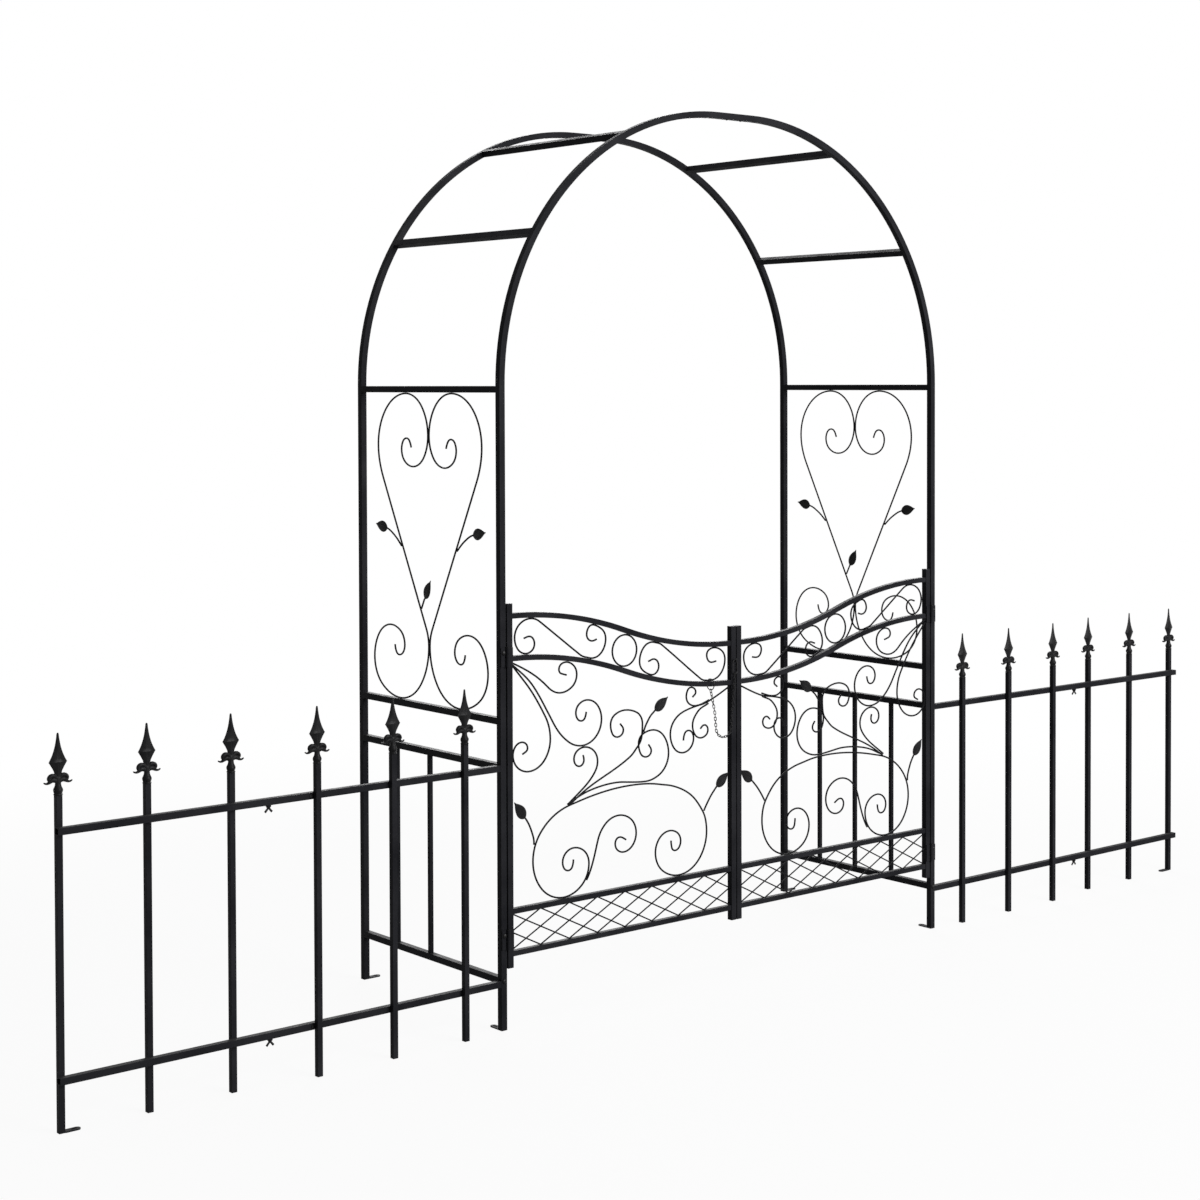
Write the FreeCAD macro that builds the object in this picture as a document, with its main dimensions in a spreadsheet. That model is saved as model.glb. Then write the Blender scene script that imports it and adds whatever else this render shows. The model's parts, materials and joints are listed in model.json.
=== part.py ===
import FreeCAD, Part
import Sketcher
import math
import os
import re

# Garden arch with a double scrollwork gate and a wing of picket fence on each side.
# Millimetres, +Z up. The gate faces -Y, +X is to the right of someone in front of it, and the origin is on
# the ground in the middle of the whole.

SIZES = {
    # Arch
    "arch_width": 1500,          # between the post centre lines, left to right
    "arch_depth": 600,           # between the post centre lines, front to rear
    "front_line": -293,          # the front posts' centre line
    "post_size": 16,
    "post_wall": 1.2,
    "post_height": 1541,
    "apex_flat": 60,             # straight end of each arch tube
    "sleeve_wall": 1.2,
    "sleeve_clearance": 0.6,
    "sleeve_in_post": 60,
    "sleeve_in_arch": 24,
    "apex_sleeve_margin": 15,    # from the apex sleeve's end to the bend
    "arch_screw_above_seam": 12,
    "arch_screw_from_apex": 24,
    # Sides of the arch
    "rung_size": 16,
    "rung_wall": 1,
    "rung_low": 119,
    "rung_mid": 630,
    "rung_upper": 740,
    "rung_top_drop": 11,         # under the posts' upper ends
    "arch_rung_first_deg": 32,   # round the bend from the post
    "arch_rung_second_deg": 64,
    "side_bar_size": 10,
    "side_bar_wall": 1,
    "side_bar_spacing": 146,
    # Ornament
    "scroll_wire": 4.5,
    "touch": 0.15,               # clearance between welded neighbours
    "leaf_length": 54,
    "leaf_width": 27,
    "leaf_thickness": 4,
    # Gate
    "hinge_gap": 4,
    "meeting_gap": 3,
    "stile_size": 16,
    "stile_wall": 1.2,
    "stile_bottom": 148,
    "hinge_stile_top": 1018,
    "meeting_stile_top": 911,
    "cap_plate": 1.6,
    "cap_plug": 10,
    "cap_clearance": 0.3,
    "gate_rail_size": 13,
    "gate_rail_wall": 1,
    "top_rail_hinge_end": 989.5,
    "top_rail_meeting_end": 869,
    "band_height": 102,          # from the top rail to the second rail
    "lattice_rail_upper": 281,
    "lattice_rail_lower": 179.5,
    "lattice_wire": 3.5,
    "lattice_cells": 8,
    # Hinges
    "hinge_low": 217,
    "hinge_high": 892.5,
    "hinge_height": 46,
    "hinge_plate": 2.5,
    "hinge_plate_width": 12,
    "hinge_plate_clearance": 0.5,
    "knuckle_radius": 5,
    "knuckle_gap": 0.3,
    "pin_radius": 2.5,
    "pin_clearance": 0.05,
    "pin_head_radius": 4,
    "pin_head_height": 2,
    # Fasteners
    "bolt_radius": 3,
    "bolt_clearance": 0.1,
    "bolt_head_radius": 5,
    "bolt_head_height": 4,
    "bolt_length": 9,
    "hinge_bolt_rise": 11,       # above the middle of the hinge
    "screw_radius": 2,
    "screw_head_radius": 3.5,
    "screw_head_height": 2,
    "screw_length": 5,
    # Fence wings
    "rail_size": 15,
    "rail_wall": 1.2,
    "rail_low": 112,
    "rail_up": 628,
    "rail_overhang": 4,
    "picket_size": 13,
    "picket_wall": 1,
    "picket_first": 117,         # from the post's centre line
    "picket_pitch": 200,
    "picket_top": 700,
    "spigot_reach": 100,         # on each side of the seam
    "spigot_wall": 1.2,
    "spigot_clearance": 0.25,
    "spigot_screw_from_seam": 88,
    "wing_bolt_from_seam": 16,
    "boss_radius": 6,
    "boss_height": 4,
    "wing_bolt_head_radius": 5,
    "wing_bolt_head_height": 4,
    "wing_length": 13,
    "wing_width": 5,
    "wing_thickness": 3,
    "wing_splay_deg": 42,
    # Finials
    "finial_height": 129.5,
    "finial_width": 38,
    "finial_shoulder": 70,
    "finial_thickness": 12,
    "finial_socket": 16,
    "finial_socket_height": 10,
    "finial_neck": 12,
    "finial_plug": 12,
    "finial_plug_clearance": 0.2,
    "curl_reach": 34,
    "curl_thickness": 9,
    # Foot tabs
    "tab_length": 36,
    "tab_width": 16,
    "tab_thickness": 3,
    "slot_width": 6,
    "slot_length": 14,
    "slot_from_end": 14,
    # Latch chain
    "chain_wire": 1.8,
    "chain_link_inside": 8.5,
    "chain_link_width": 3.6,     # inside
    "chain_slack": 0.5,          # play between two links
    "chain_count": 40,
    "chain_lay": 45,             # degrees by which the links are turned to the stile's face
    "chain_lay_run": 6,          # links from each ring in which that turn is reached
    "chain_turn_radius": 27,     # of the loop's low end
    "chain_turn_from_stile": 40,
    "chain_forward_run": 60,     # the length in which the chain comes clear of the stile's face
    "ring_wire": 2.5,
    "rail_ring_radius": 13,      # inside
    "rail_ring_forward": 2.6,
    "end_ring_inside": 33,
    "end_ring_width": 11,        # inside
    "end_ring_forward": 5.5,     # from the stile's face
    "hook_wire": 4,
    "hook_height": 822,
    "hook_reach": 7,
    "hook_bend": 3,
    "hook_rise": 5,
}

DOC = FreeCAD.newDocument("GardenArch")
SHEET = DOC.addObject("Spreadsheet::Sheet", "Sizes")
NODES = {}
LEFT = -1
RIGHT = 1
# Sizes at which the ornament is drawn; it is fitted to the real openings.
DRAWN_OPENING = 704.5
DRAWN_PANEL = 540.25
DRAWN_SIDE = 584
DRAWN_HEART = 771.7
RAIL_RING_ACROSS = 636
SIDE_NAMES = {LEFT: "left", RIGHT: "right"}


def fill_sheet():
    """Writes each driving dimension to a cell of its own and gives the cell its name."""
    for row, (name, value) in enumerate(SIZES.items(), start=1):
        SHEET.set(f"A{row}", name)
        SHEET.set(f"B{row}", str(value))
        SHEET.setAlias(f"B{row}", name)
    DOC.recompute()


def size(name):
    """A driving dimension, read from the sheet."""
    return float(SHEET.get(name))


def formula(text):
    """An expression in which each named size is a cell of the sheet."""
    return re.sub(r"[A-Za-z_]\w*", lambda word: "Sizes." + word.group(0), text)


def signed(side, text):
    """The expression, negated on the left side."""
    return text if side == RIGHT else f"-({text})"


# Basic solids, bound to the sheet

def block(name, lengths, centre):
    """A box of three lengths about a centre."""
    item = DOC.addObject("Part::Box", name)
    for prop, axis, length, middle in zip(("Length", "Width", "Height"), "xyz", lengths, centre):
        item.setExpression(prop, formula(length))
        item.setExpression(f"Placement.Base.{axis}", formula(f"({middle}) - ({length}) / 2"))
    return item


def rod(name, radius, length, start, along):
    """A round bar from a start point, along one axis."""
    item = DOC.addObject("Part::Cylinder", name)
    turns = {"x": ((0, 1, 0), 90), "y": ((1, 0, 0), -90), "z": ((0, 0, 1), 0)}
    axis, angle = turns[along]
    item.Placement = FreeCAD.Placement(FreeCAD.Vector(), FreeCAD.Rotation(FreeCAD.Vector(*axis), angle))
    item.setExpression("Radius", formula(radius))
    item.setExpression("Height", formula(length))
    for key, value in zip("xyz", start):
        item.setExpression(f"Placement.Base.{key}", formula(value))
    return item


def cut(name, base, *tools):
    """The base with every tool taken out of it."""
    for number, tool in enumerate(tools):
        last = number == len(tools) - 1
        item = DOC.addObject("Part::Cut", name if last else f"{name}_cut{number}")
        item.Base = base
        item.Tool = tool
        base = item
    return base


def join(name, *parts):
    """One solid from parts that touch or overlap."""
    item = DOC.addObject("Part::MultiFuse", name)
    item.Shapes = list(parts)
    return item


def tube(name, along, width, wall, length, centre, holes=()):
    """A square tube about a centre, open at both ends."""
    overrun = "2"
    lengths = [length if axis == along else width for axis in "xyz"]
    bores = [f"{length} + {overrun}" if axis == along else f"{width} - 2 * {wall}" for axis in "xyz"]
    outer = block(f"{name}_outer", lengths, centre)
    bore = block(f"{name}_bore", bores, centre)
    return cut(name, outer, bore, *holes)


def node(name, items):
    """Registers a named node, made of one object or a group of them."""
    items = list(items)
    if len(items) == 1:
        whole = items[0]
    else:
        whole = DOC.addObject("Part::Compound", name)
        whole.Links = items
    whole.Label = name
    NODES[name] = whole


def shaped(name, solids):
    """Registers a node whose shape comes from solids made in code from the sheet's sizes."""
    solids = list(solids)
    item = DOC.addObject("Part::Feature", name)
    item.Shape = solids[0] if len(solids) == 1 else Part.makeCompound(solids)
    item.Placement = FreeCAD.Placement()
    item.Label = name
    NODES[name] = item


# Bent wires: stations joined by tangent arcs

def heading(degrees):
    """The unit vector of a heading, in the plane of a wire."""
    turn = math.radians(degrees)
    return FreeCAD.Vector(math.cos(turn), math.sin(turn), 0)


def arc_middle(start, tangent, end):
    """The point half way along the arc that leaves start along a tangent, or None if it runs straight."""
    chord = end - start
    swing = math.atan2(chord.x * tangent.y - chord.y * tangent.x, chord * tangent)
    if abs(swing) < 1e-4:
        return None
    reach = chord.Length / (2 * math.cos(swing / 2))
    along = math.atan2(chord.y, chord.x) + swing / 2
    return start + FreeCAD.Vector(math.cos(along), math.sin(along), 0) * reach


def biarc(start, leave, end, arrive):
    """The points of two tangent arcs from one station to the next: a list of (start, middle, end)."""
    span = end - start
    spread = 1 - leave * arrive
    lean = span * (leave + arrive)
    if spread < 1e-9:
        reach = (span * span) / (4 * (span * arrive))
    else:
        reach = (math.sqrt(lean * lean + 2 * spread * (span * span)) - lean) / (2 * spread)
    knot = (start + leave * reach + end - arrive * reach) * 0.5
    back = arc_middle(end, arrive * -1, knot)
    return [(start, arc_middle(start, leave, knot), knot), (knot, back, end)]


def flat(across, up):
    """A point of a drawing, in the drawing's own plane."""
    return FreeCAD.Vector(across, up, 0)


def wire_edges(stations, place=flat):
    """The tangent arcs through stations (across, up, heading), put in space by the place function."""
    edges = []
    for (a0, b0, h0), (a1, b1, h1) in zip(stations, stations[1:]):
        for first, middle, last in biarc(flat(a0, b0), heading(h0), flat(a1, b1), heading(h1)):
            ends = place(first.x, first.y), place(last.x, last.y)
            if middle is None:
                edges.append(Part.LineSegment(*ends).toShape())
            else:
                edges.append(Part.Arc(ends[0], place(middle.x, middle.y), ends[1]).toShape())
    return edges


def bent_wire(stations, place, diameter):
    """A round wire through stations, put in space by the place function."""
    return swept(wire_edges(stations, place), diameter)


def beside(stations, across, up, hand, lean=0, back=False):
    """A station that lies against another wire where it passes nearest to a point.

    hand is 1 to the left of that wire's heading and -1 to its right; lean turns the new heading away from it,
    and back reverses it.
    """
    point = Part.Vertex(flat(across, up))
    edge = min(wire_edges(stations), key=lambda one: point.distToShape(one)[0])
    touching = point.distToShape(edge)[1][0][1]
    along = edge.tangentAt(edge.Curve.parameter(touching))
    bearing = math.degrees(math.atan2(along.y, along.x))
    radius = size("scroll_wire") / 2
    offset = radius + size("touch") + radius * abs(math.cos(math.radians(lean)))
    centre = touching + heading(bearing + 90 * hand) * offset
    return (centre.x, centre.y, bearing + lean + (180 if back else 0))


def swept(edges, diameter):
    """A round bar along joined edges, with its volume compared with section times length."""
    path = Part.Wire(edges)
    first = edges[0]
    start, along = first.valueAt(first.FirstParameter), first.tangentAt(first.FirstParameter)
    section = Part.Wire([Part.Circle(start, along, diameter / 2).toShape()])
    solid = path.makePipeShell([section], True, False)
    expected = math.pi * diameter ** 2 / 4 * path.Length
    if not solid.isValid() or abs(solid.Volume - expected) > 0.01 * expected:
        raise ValueError(f"a wire of {path.Length:.0f} mm came out with {solid.Volume:.0f} mm3")
    return Part.Solid(solid) if solid.ShapeType == "Shell" else solid


def leaf(place, across, up, bearing):
    """A pointed leaf from its base towards a bearing, lying in the plane of the wires."""
    length, half = size("leaf_length"), size("leaf_width") / 2
    along, aside = heading(bearing), heading(bearing + 90)
    base = FreeCAD.Vector(across, up, 0)
    tip = base + along * length
    sides = [base + along * (length / 2) + aside * (half * turn) for turn in (1, -1)]
    corners = [place(point.x, point.y) for point in (base, sides[0], tip, sides[1])]
    outline = Part.Wire([Part.Arc(corners[0], corners[1], corners[2]).toShape(),
                         Part.Arc(corners[2], corners[3], corners[0]).toShape()])
    face = Part.Face(outline)
    normal = face.normalAt(0, 0) * size("leaf_thickness")
    solid = face.extrude(normal)
    solid.translate(normal * -0.5)
    return solid


# Where things stand

def post_x(side):
    return signed(side, "arch_width / 2")


REAR_LINE = "front_line + arch_depth"
SIDE_MIDDLE = "front_line + arch_depth / 2"
HINGE_X = "arch_width / 2 - post_size / 2 - hinge_gap / 2"
STILE_X = "arch_width / 2 - post_size / 2 - hinge_gap - stile_size / 2"
STILE_FACE = "arch_width / 2 - post_size / 2 - hinge_gap - stile_size"
MEETING_X = "meeting_gap / 2 + stile_size / 2"
MEETING_FACE = "meeting_gap / 2 + stile_size"
HINGE_Y = "front_line - post_size / 2 - knuckle_radius"
SEAM_X = "arch_width / 2 + picket_first + 2.5 * picket_pitch"
RAIL_END_X = "arch_width / 2 + picket_first + 5 * picket_pitch + picket_size / 2 + rail_overhang"
INNER_PICKET_Y = "front_line - rail_size / 2 - picket_size / 2"
OUTER_PICKET_Y = "front_line + rail_size / 2 + picket_size / 2"
WING_BOLT_X = f"{SEAM_X} + wing_bolt_from_seam"
SPIGOT_SCREW_X = f"{SEAM_X} - spigot_screw_from_seam"
HINGE_HEIGHTS = {"low": "hinge_low", "high": "hinge_high"}
RAIL_HEIGHTS = {"lower": "rail_low", "upper": "rail_up"}


def picket_x(number):
    """The centre line of a picket, counted outwards from the post."""
    return f"arch_width / 2 + picket_first + {number} * picket_pitch"


def worked(text):
    """The value of an expression of named sizes, for the solids that are made in code."""
    scratch = SHEET.evalExpression(text)
    return float(scratch)


# Arch

def make_posts():
    """Four square posts, with the holes that their bolts pass."""
    for side in (LEFT, RIGHT):
        for row, line in (("front", "front_line"), ("rear", REAR_LINE)):
            name = f"post_{row}_{SIDE_NAMES[side]}"
            heights = []
            if row == "front":
                heights = [f"{middle} + hinge_bolt_rise" for middle in HINGE_HEIGHTS.values()] + ["rung_low"]
            holes = [rod(f"{name}_hole{number}", "bolt_radius + bolt_clearance", "post_size / 2",
                         (post_x(side), "front_line - post_size / 2 - 1", height), "y")
                     for number, height in enumerate(heights)]
            post = tube(name, "z", "post_size", "post_wall", "post_height",
                        (post_x(side), line, "post_height / 2"), holes)
            node(name, [post])


def foot_tab(name):
    """A flat tab with a round end and a slotted hole, drawn from the face that it is welded to."""
    body = DOC.addObject("PartDesign::Body", name)
    plane = next(item for item in body.Origin.OriginFeatures if item.Role == "XY_Plane")
    sketch = body.newObject("Sketcher::SketchObject", f"{name}_sketch")
    sketch.AttachmentSupport = [(plane, "")]
    sketch.MapMode = "FlatFace"
    length, half = size("tab_length"), size("tab_width") / 2
    round_end = FreeCAD.Vector(length - half, 0, 0)
    upright = FreeCAD.Vector(0, 0, 1)
    ends = ((0, -half), (length - half, -half), (length - half, half), (0, half))
    corners = [FreeCAD.Vector(x, y, 0) for x, y in ends]
    outline = [Part.LineSegment(corners[0], corners[1]),
               Part.ArcOfCircle(Part.Circle(round_end, upright, half), -math.pi / 2, math.pi / 2),
               Part.LineSegment(corners[2], corners[3]),
               Part.LineSegment(corners[3], corners[0])]
    sketch.addGeometry(outline, False)
    middle, wide = length - size("slot_from_end"), size("slot_width") / 2
    run = size("slot_length") / 2 - wide
    near, far = FreeCAD.Vector(middle - run, 0, 0), FreeCAD.Vector(middle + run, 0, 0)
    up = FreeCAD.Vector(0, wide, 0)
    slot = [Part.LineSegment(near - up, far - up),
            Part.ArcOfCircle(Part.Circle(far, upright, wide), -math.pi / 2, math.pi / 2),
            Part.LineSegment(far + up, near + up),
            Part.ArcOfCircle(Part.Circle(near, upright, wide), math.pi / 2, 3 * math.pi / 2)]
    sketch.addGeometry(slot, False)
    rule = Sketcher.Constraint
    sketch.addConstraint([rule("Tangent", 0, 2, 1, 1), rule("Tangent", 1, 2, 2, 1),
                          rule("Coincident", 2, 2, 3, 1), rule("Coincident", 3, 2, 0, 1),
                          rule("Horizontal", 0), rule("Vertical", 3), rule("PointOnObject", 1, 3, -1),
                          rule("PointOnObject", 0, 1, -2),
                          rule("Tangent", 4, 2, 5, 1), rule("Tangent", 5, 2, 6, 1),
                          rule("Tangent", 6, 2, 7, 1),
                          rule("Tangent", 7, 2, 4, 1), rule("PointOnObject", 5, 3, -1),
                          rule("PointOnObject", 7, 3, -1)])
    driven = {"half_width": (("Radius", 1, half), "tab_width / 2"),
              "length": (("DistanceX", -1, 1, 1, 3, length - half), "tab_length - tab_width / 2"),
              "slot_half": (("Radius", 5, wide), "slot_width / 2"),
              "slot_far": (("DistanceX", -1, 1, 5, 3, middle + run),
                           "tab_length - slot_from_end + slot_length / 2 - slot_width / 2"),
              "slot_near": (("DistanceX", -1, 1, 7, 3, middle - run),
                            "tab_length - slot_from_end - slot_length / 2 + slot_width / 2")}
    for key, (definition, text) in driven.items():
        index = sketch.addConstraint(rule(*definition))
        sketch.renameConstraint(index, key)
        sketch.setExpression(f"Constraints.{key}", formula(text))
    pad = body.newObject("PartDesign::Pad", f"{name}_pad")
    pad.Profile = sketch
    pad.setExpression("Length", formula("tab_thickness"))
    body.Tip = pad
    return body


def place_tab(body, x, y, angle):
    """Turns a foot tab about the vertical and sets it against its post."""
    body.Placement = FreeCAD.Placement(FreeCAD.Vector(), FreeCAD.Rotation(FreeCAD.Vector(0, 0, 1), angle))
    body.setExpression("Placement.Base.x", formula(x))
    body.setExpression("Placement.Base.y", formula(y))
    return body


def make_foot_tabs():
    """Front tabs run to the rear, rear tabs to the right."""
    tabs = []
    for side in (LEFT, RIGHT):
        label = SIDE_NAMES[side]
        tabs.append(place_tab(foot_tab(f"tab_front_{label}"), post_x(side), "front_line + post_size / 2", 90))
        tabs.append(place_tab(foot_tab(f"tab_rear_{label}"), f"{post_x(side)} + post_size / 2", REAR_LINE, 0))
    node("foot_tabs", tabs)


def make_sides():
    """Rungs and upright bars between the front and rear posts."""
    rungs, bars = [], []
    rung_heights = {"low": "rung_low", "mid": "rung_mid", "upper": "rung_upper",
                    "top": "post_height - rung_top_drop"}
    for side in (LEFT, RIGHT):
        for place, height in rung_heights.items():
            rungs.append(tube(f"{place}_rung_{SIDE_NAMES[side]}", "y", "rung_size", "rung_wall",
                              "arch_depth - post_size", (post_x(side), SIDE_MIDDLE, height)))
        for step in (-1, 0, 1):
            centre = (post_x(side), f"{SIDE_MIDDLE} + {step} * side_bar_spacing", "(rung_mid + rung_low) / 2")
            bars.append(tube(f"side_bar_{SIDE_NAMES[side]}_{step + 2}", "z", "side_bar_size", "side_bar_wall",
                             "rung_mid - rung_low - rung_size", centre))
    node("side_rungs", rungs)
    node("side_bars", bars)


def square_wire(centre, along, width):
    """A square about a centre, across a direction that lies in the plane of the hoop."""
    aside = FreeCAD.Vector(0, width / 2, 0)
    out = along.cross(FreeCAD.Vector(0, 1, 0)) * (width / 2)
    corners = [centre + out + aside, centre - out + aside, centre - out - aside, centre + out - aside]
    return Part.makePolygon(corners + corners[:1])


def curved_tube(edges, width, wall):
    """A square tube along joined edges in an upright plane."""
    first = edges[0]
    start, along = first.valueAt(first.FirstParameter), first.tangentAt(first.FirstParameter)
    walls = [Part.Wire(edges).makePipeShell([square_wire(start, along, across)], True, False)
             for across in (width, width - 2 * wall)]
    return walls[0].cut(walls[1])


def bend_radius():
    """Radius of the arch tubes' centre line."""
    return size("arch_width") / 2 - size("apex_flat")


def hoop_point(side, y, degrees):
    """A point on the bend of a hoop, counted in degrees from its post."""
    radius, turn = bend_radius(), math.radians(degrees)
    out = size("apex_flat") + radius * math.cos(turn)
    return FreeCAD.Vector(side * out, y, size("post_height") + radius * math.sin(turn))


def make_arch_tubes():
    """Quarter bends with a straight end at the apex, from each post to the middle."""
    lines = {"front": size("front_line"), "rear": size("front_line") + size("arch_depth")}
    hole_radius = size("screw_radius") + size("bolt_clearance")
    for side in (LEFT, RIGHT):
        for row, y in lines.items():
            bend = Part.Arc(*(hoop_point(side, y, turn) for turn in (0, 45, 90))).toShape()
            apex = hoop_point(side, y, 90)
            straight = Part.LineSegment(apex, FreeCAD.Vector(0, y, apex.z)).toShape()
            solid = curved_tube([bend, straight], size("post_size"), size("post_wall"))
            for start, direction in screw_places(side, y):
                solid = solid.cut(Part.makeCylinder(hole_radius, size("post_size") / 2, start, direction))
            shaped(f"arch_{row}_{SIDE_NAMES[side]}", [solid])


def screw_places(side, y):
    """Where the two screws of an arch tube enter, and which way they point: at its foot and at the apex."""
    half = size("post_size") / 2
    foot = FreeCAD.Vector(side * (size("arch_width") / 2 + half), y,
                          size("post_height") + size("arch_screw_above_seam"))
    apex = FreeCAD.Vector(side * size("arch_screw_from_apex"), y, size("post_height") + bend_radius() - half)
    return [(foot, FreeCAD.Vector(-side, 0, 0)), (apex, FreeCAD.Vector(0, 0, 1))]


def screw(start, direction):
    """A pan-head screw whose head seats at the start point."""
    shank = Part.makeCylinder(size("screw_radius"), size("screw_length"), start, direction)
    seat = start - direction * size("screw_head_height")
    crown = size("screw_head_radius") * 0.6
    head = Part.makeCone(crown, size("screw_head_radius"), size("screw_head_height"), seat, direction)
    return shank.fuse(head).removeSplitter()


def sleeve_width():
    return size("post_size") - 2 * size("post_wall") - 2 * size("sleeve_clearance")


def make_sleeves():
    """Inner sleeves that carry the arch tubes on the posts and join them at the apex, with their screws."""
    sleeves, screws = [], []
    width, inside = sleeve_width(), sleeve_width() - 2 * size("sleeve_wall")
    bottom = size("post_height") - size("sleeve_in_post")
    length = size("sleeve_in_post") + size("sleeve_in_arch")
    reach, apex_z = size("apex_flat") - size("apex_sleeve_margin"), size("post_height") + bend_radius()
    hole_radius = size("screw_radius") + size("bolt_clearance")
    for y in (size("front_line"), size("front_line") + size("arch_depth")):
        outer, bore = (Part.makeBox(2 * reach, across, across,
                                    FreeCAD.Vector(-reach, y - across / 2, apex_z - across / 2))
                       for across in (width, inside))
        apex = outer.cut(bore)
        for side in (LEFT, RIGHT):
            x = side * size("arch_width") / 2
            outer, bore = (Part.makeBox(across, across, length,
                                        FreeCAD.Vector(x - across / 2, y - across / 2, bottom))
                           for across in (width, inside))
            foot = outer.cut(bore)
            (low, inwards), (high, upwards) = screw_places(side, y)
            foot = foot.cut(Part.makeCylinder(hole_radius, size("post_size") / 2, low, inwards))
            apex = apex.cut(Part.makeCylinder(hole_radius, size("post_size") / 2, high, upwards))
            sleeves.append(foot)
            screws += [screw(low, inwards), screw(high, upwards)]
        sleeves.append(apex)
    shaped("arch_sleeves", sleeves)
    shaped("arch_screws", screws)


def make_arch_rungs():
    """Cross rungs between the two hoops, turned to lie square on the bend."""
    rungs = []
    width, inside = size("rung_size"), size("rung_size") - 2 * size("rung_wall")
    length = size("arch_depth") - size("post_size")
    front = size("front_line") + size("post_size") / 2
    for side in (LEFT, RIGHT):
        for turn in (size("arch_rung_first_deg"), size("arch_rung_second_deg")):
            solids = [Part.makeBox(across, length, across, FreeCAD.Vector(-across / 2, 0, -across / 2))
                      for across in (width, inside)]
            rung = solids[0].cut(solids[1])
            rung.rotate(FreeCAD.Vector(), FreeCAD.Vector(0, 1, 0), -side * turn)
            rung.translate(hoop_point(side, front, turn))
            rungs.append(rung)
    shaped("arch_rungs", rungs)


# Side ornament: a heart of two mirrored wires, over a small scroll on each side

def side_place(side, half):
    """Puts a point of the side drawing (from the middle line, height) in space, on the front or rear half."""
    x = side * size("arch_width") / 2
    middle = size("front_line") + size("arch_depth") / 2
    return lambda across, up: FreeCAD.Vector(x, middle + half * across, up)


def side_drawing():
    """The stations of one half of the heart and of the two stems, in the drawing's plane."""
    reach = size("scroll_wire") / 2 + size("touch")
    under_top = size("post_height") - size("rung_top_drop") - size("rung_size") / 2 - reach
    on_upper = size("rung_upper") + size("rung_size") / 2 + reach
    fit = (size("arch_depth") - size("post_size")) / DRAWN_SIDE
    grow = (under_top - on_upper) / DRAWN_HEART

    def at(across, up, turn):
        """A station, heights counted from where the small scroll stands on the rung."""
        return (across * fit, on_upper + up * grow, turn)

    heart = [at(76, 636, 75), at(97, 659, 0), at(119, 631, -90), at(69, 588, 180),
             (reach, at(0, 666, 0)[1], 90), (99 * fit, under_top, 0), at(225, 641, -90), at(204, 559, -117),
             at(34, 226, -117), (reach, at(0, 141, 0)[1], -90), (129 * fit, on_upper, 0), at(247, 96, 90),
             at(169, 183, 180), at(109, 136, -90), at(134, 109, 0), at(153, 134, 85)]
    outer = [beside(heart, *at(117, 388, 1), 159), at(150, 410, 33), at(186, 428, 14)]
    inner = [beside(heart, *at(37, 232, -1), -125), at(20, 259, 120)]
    return heart, outer, inner


def leaf_on(stem, place, bearing):
    """A leaf at the end of a stem."""
    across, up, turn = stem[-1]
    base = flat(across, up) + heading(turn) * size("touch")
    return leaf(place, base.x, base.y, bearing)


def make_side_scrolls():
    """The hearts of both sides, and the leaves that grow from them on short stems."""
    wire = size("scroll_wire")
    heart, outer, inner = side_drawing()
    leaves = []
    for side in (LEFT, RIGHT):
        wires = []
        for half in (1, -1):
            place = side_place(side, half)
            wires += [bent_wire(heart, place, wire), bent_wire(outer, place, wire)]
            leaves.append(leaf_on(outer, place, 10))
        place = side_place(side, 1)
        wires.append(bent_wire(inner, place, wire))
        leaves.append(leaf_on(inner, place, 119))
        shaped(f"{SIDE_NAMES[side]}_side_scrolls", wires)
    shaped("side_leaves", leaves)


# Gate

def gate_place(side, layer=0.0):
    """Puts a point of the gate drawing (from the hinge stile's inner face, height) in space."""
    face = worked(STILE_FACE)
    y = size("front_line") - layer
    return lambda across, up: FreeCAD.Vector(side * (face - across), y, up)


def opening_width():
    return worked(STILE_FACE) - worked(MEETING_FACE)


def rail_curve(across, drop):
    """Height and slope (degrees) of a curved rail's centre line: two equal arcs, level at both ends."""
    width = opening_width()
    fall = size("top_rail_hinge_end") - size("top_rail_meeting_end")
    radius = ((width / 2) ** 2 + (fall / 2) ** 2) / fall
    if across <= width / 2:
        slope = math.asin(across / radius)
        height = size("top_rail_hinge_end") - radius * (1 - math.cos(slope))
    else:
        slope = math.asin((width - across) / radius)
        height = size("top_rail_meeting_end") + radius * (1 - math.cos(slope))
    return height - drop, -math.degrees(slope)


def against(across, drop, above, turn=0):
    """A station of a wire that lies against a curved rail, above or under it, heading along it or back."""
    height, slope = rail_curve(across, drop)
    reach = size("gate_rail_size") / 2 + size("scroll_wire") / 2 + size("touch")
    normal = heading(slope + 90) * (reach if above else -reach)
    return (across + normal.x, height + normal.y, slope + turn)


def curved_rail(side, drop):
    """A curved rail between the two stiles."""
    width = opening_width()
    place = gate_place(side)
    stops = [width * share / 4 for share in range(5)]
    points = [place(across, rail_curve(across, drop)[0]) for across in stops]
    edges = [Part.Arc(*points[:3]).toShape(), Part.Arc(*points[2:]).toShape()]
    return curved_tube(edges, size("gate_rail_size"), size("gate_rail_wall"))


def end_cap(name, x, end, up):
    """A flat cap on a stile's upper (up is 1) or lower (-1) end, with a plug in the bore."""
    bore = "stile_size - 2 * stile_wall - 2 * cap_clearance"
    plate = block(f"{name}_plate", ("stile_size", "stile_size", "cap_plate"),
                  (x, "front_line", f"{end} + {up} * cap_plate / 2"))
    plug = block(f"{name}_plug", (bore, bore, "cap_plug"), (x, "front_line", f"{end} - {up} * cap_plug / 2"))
    return join(name, plate, plug)


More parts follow.
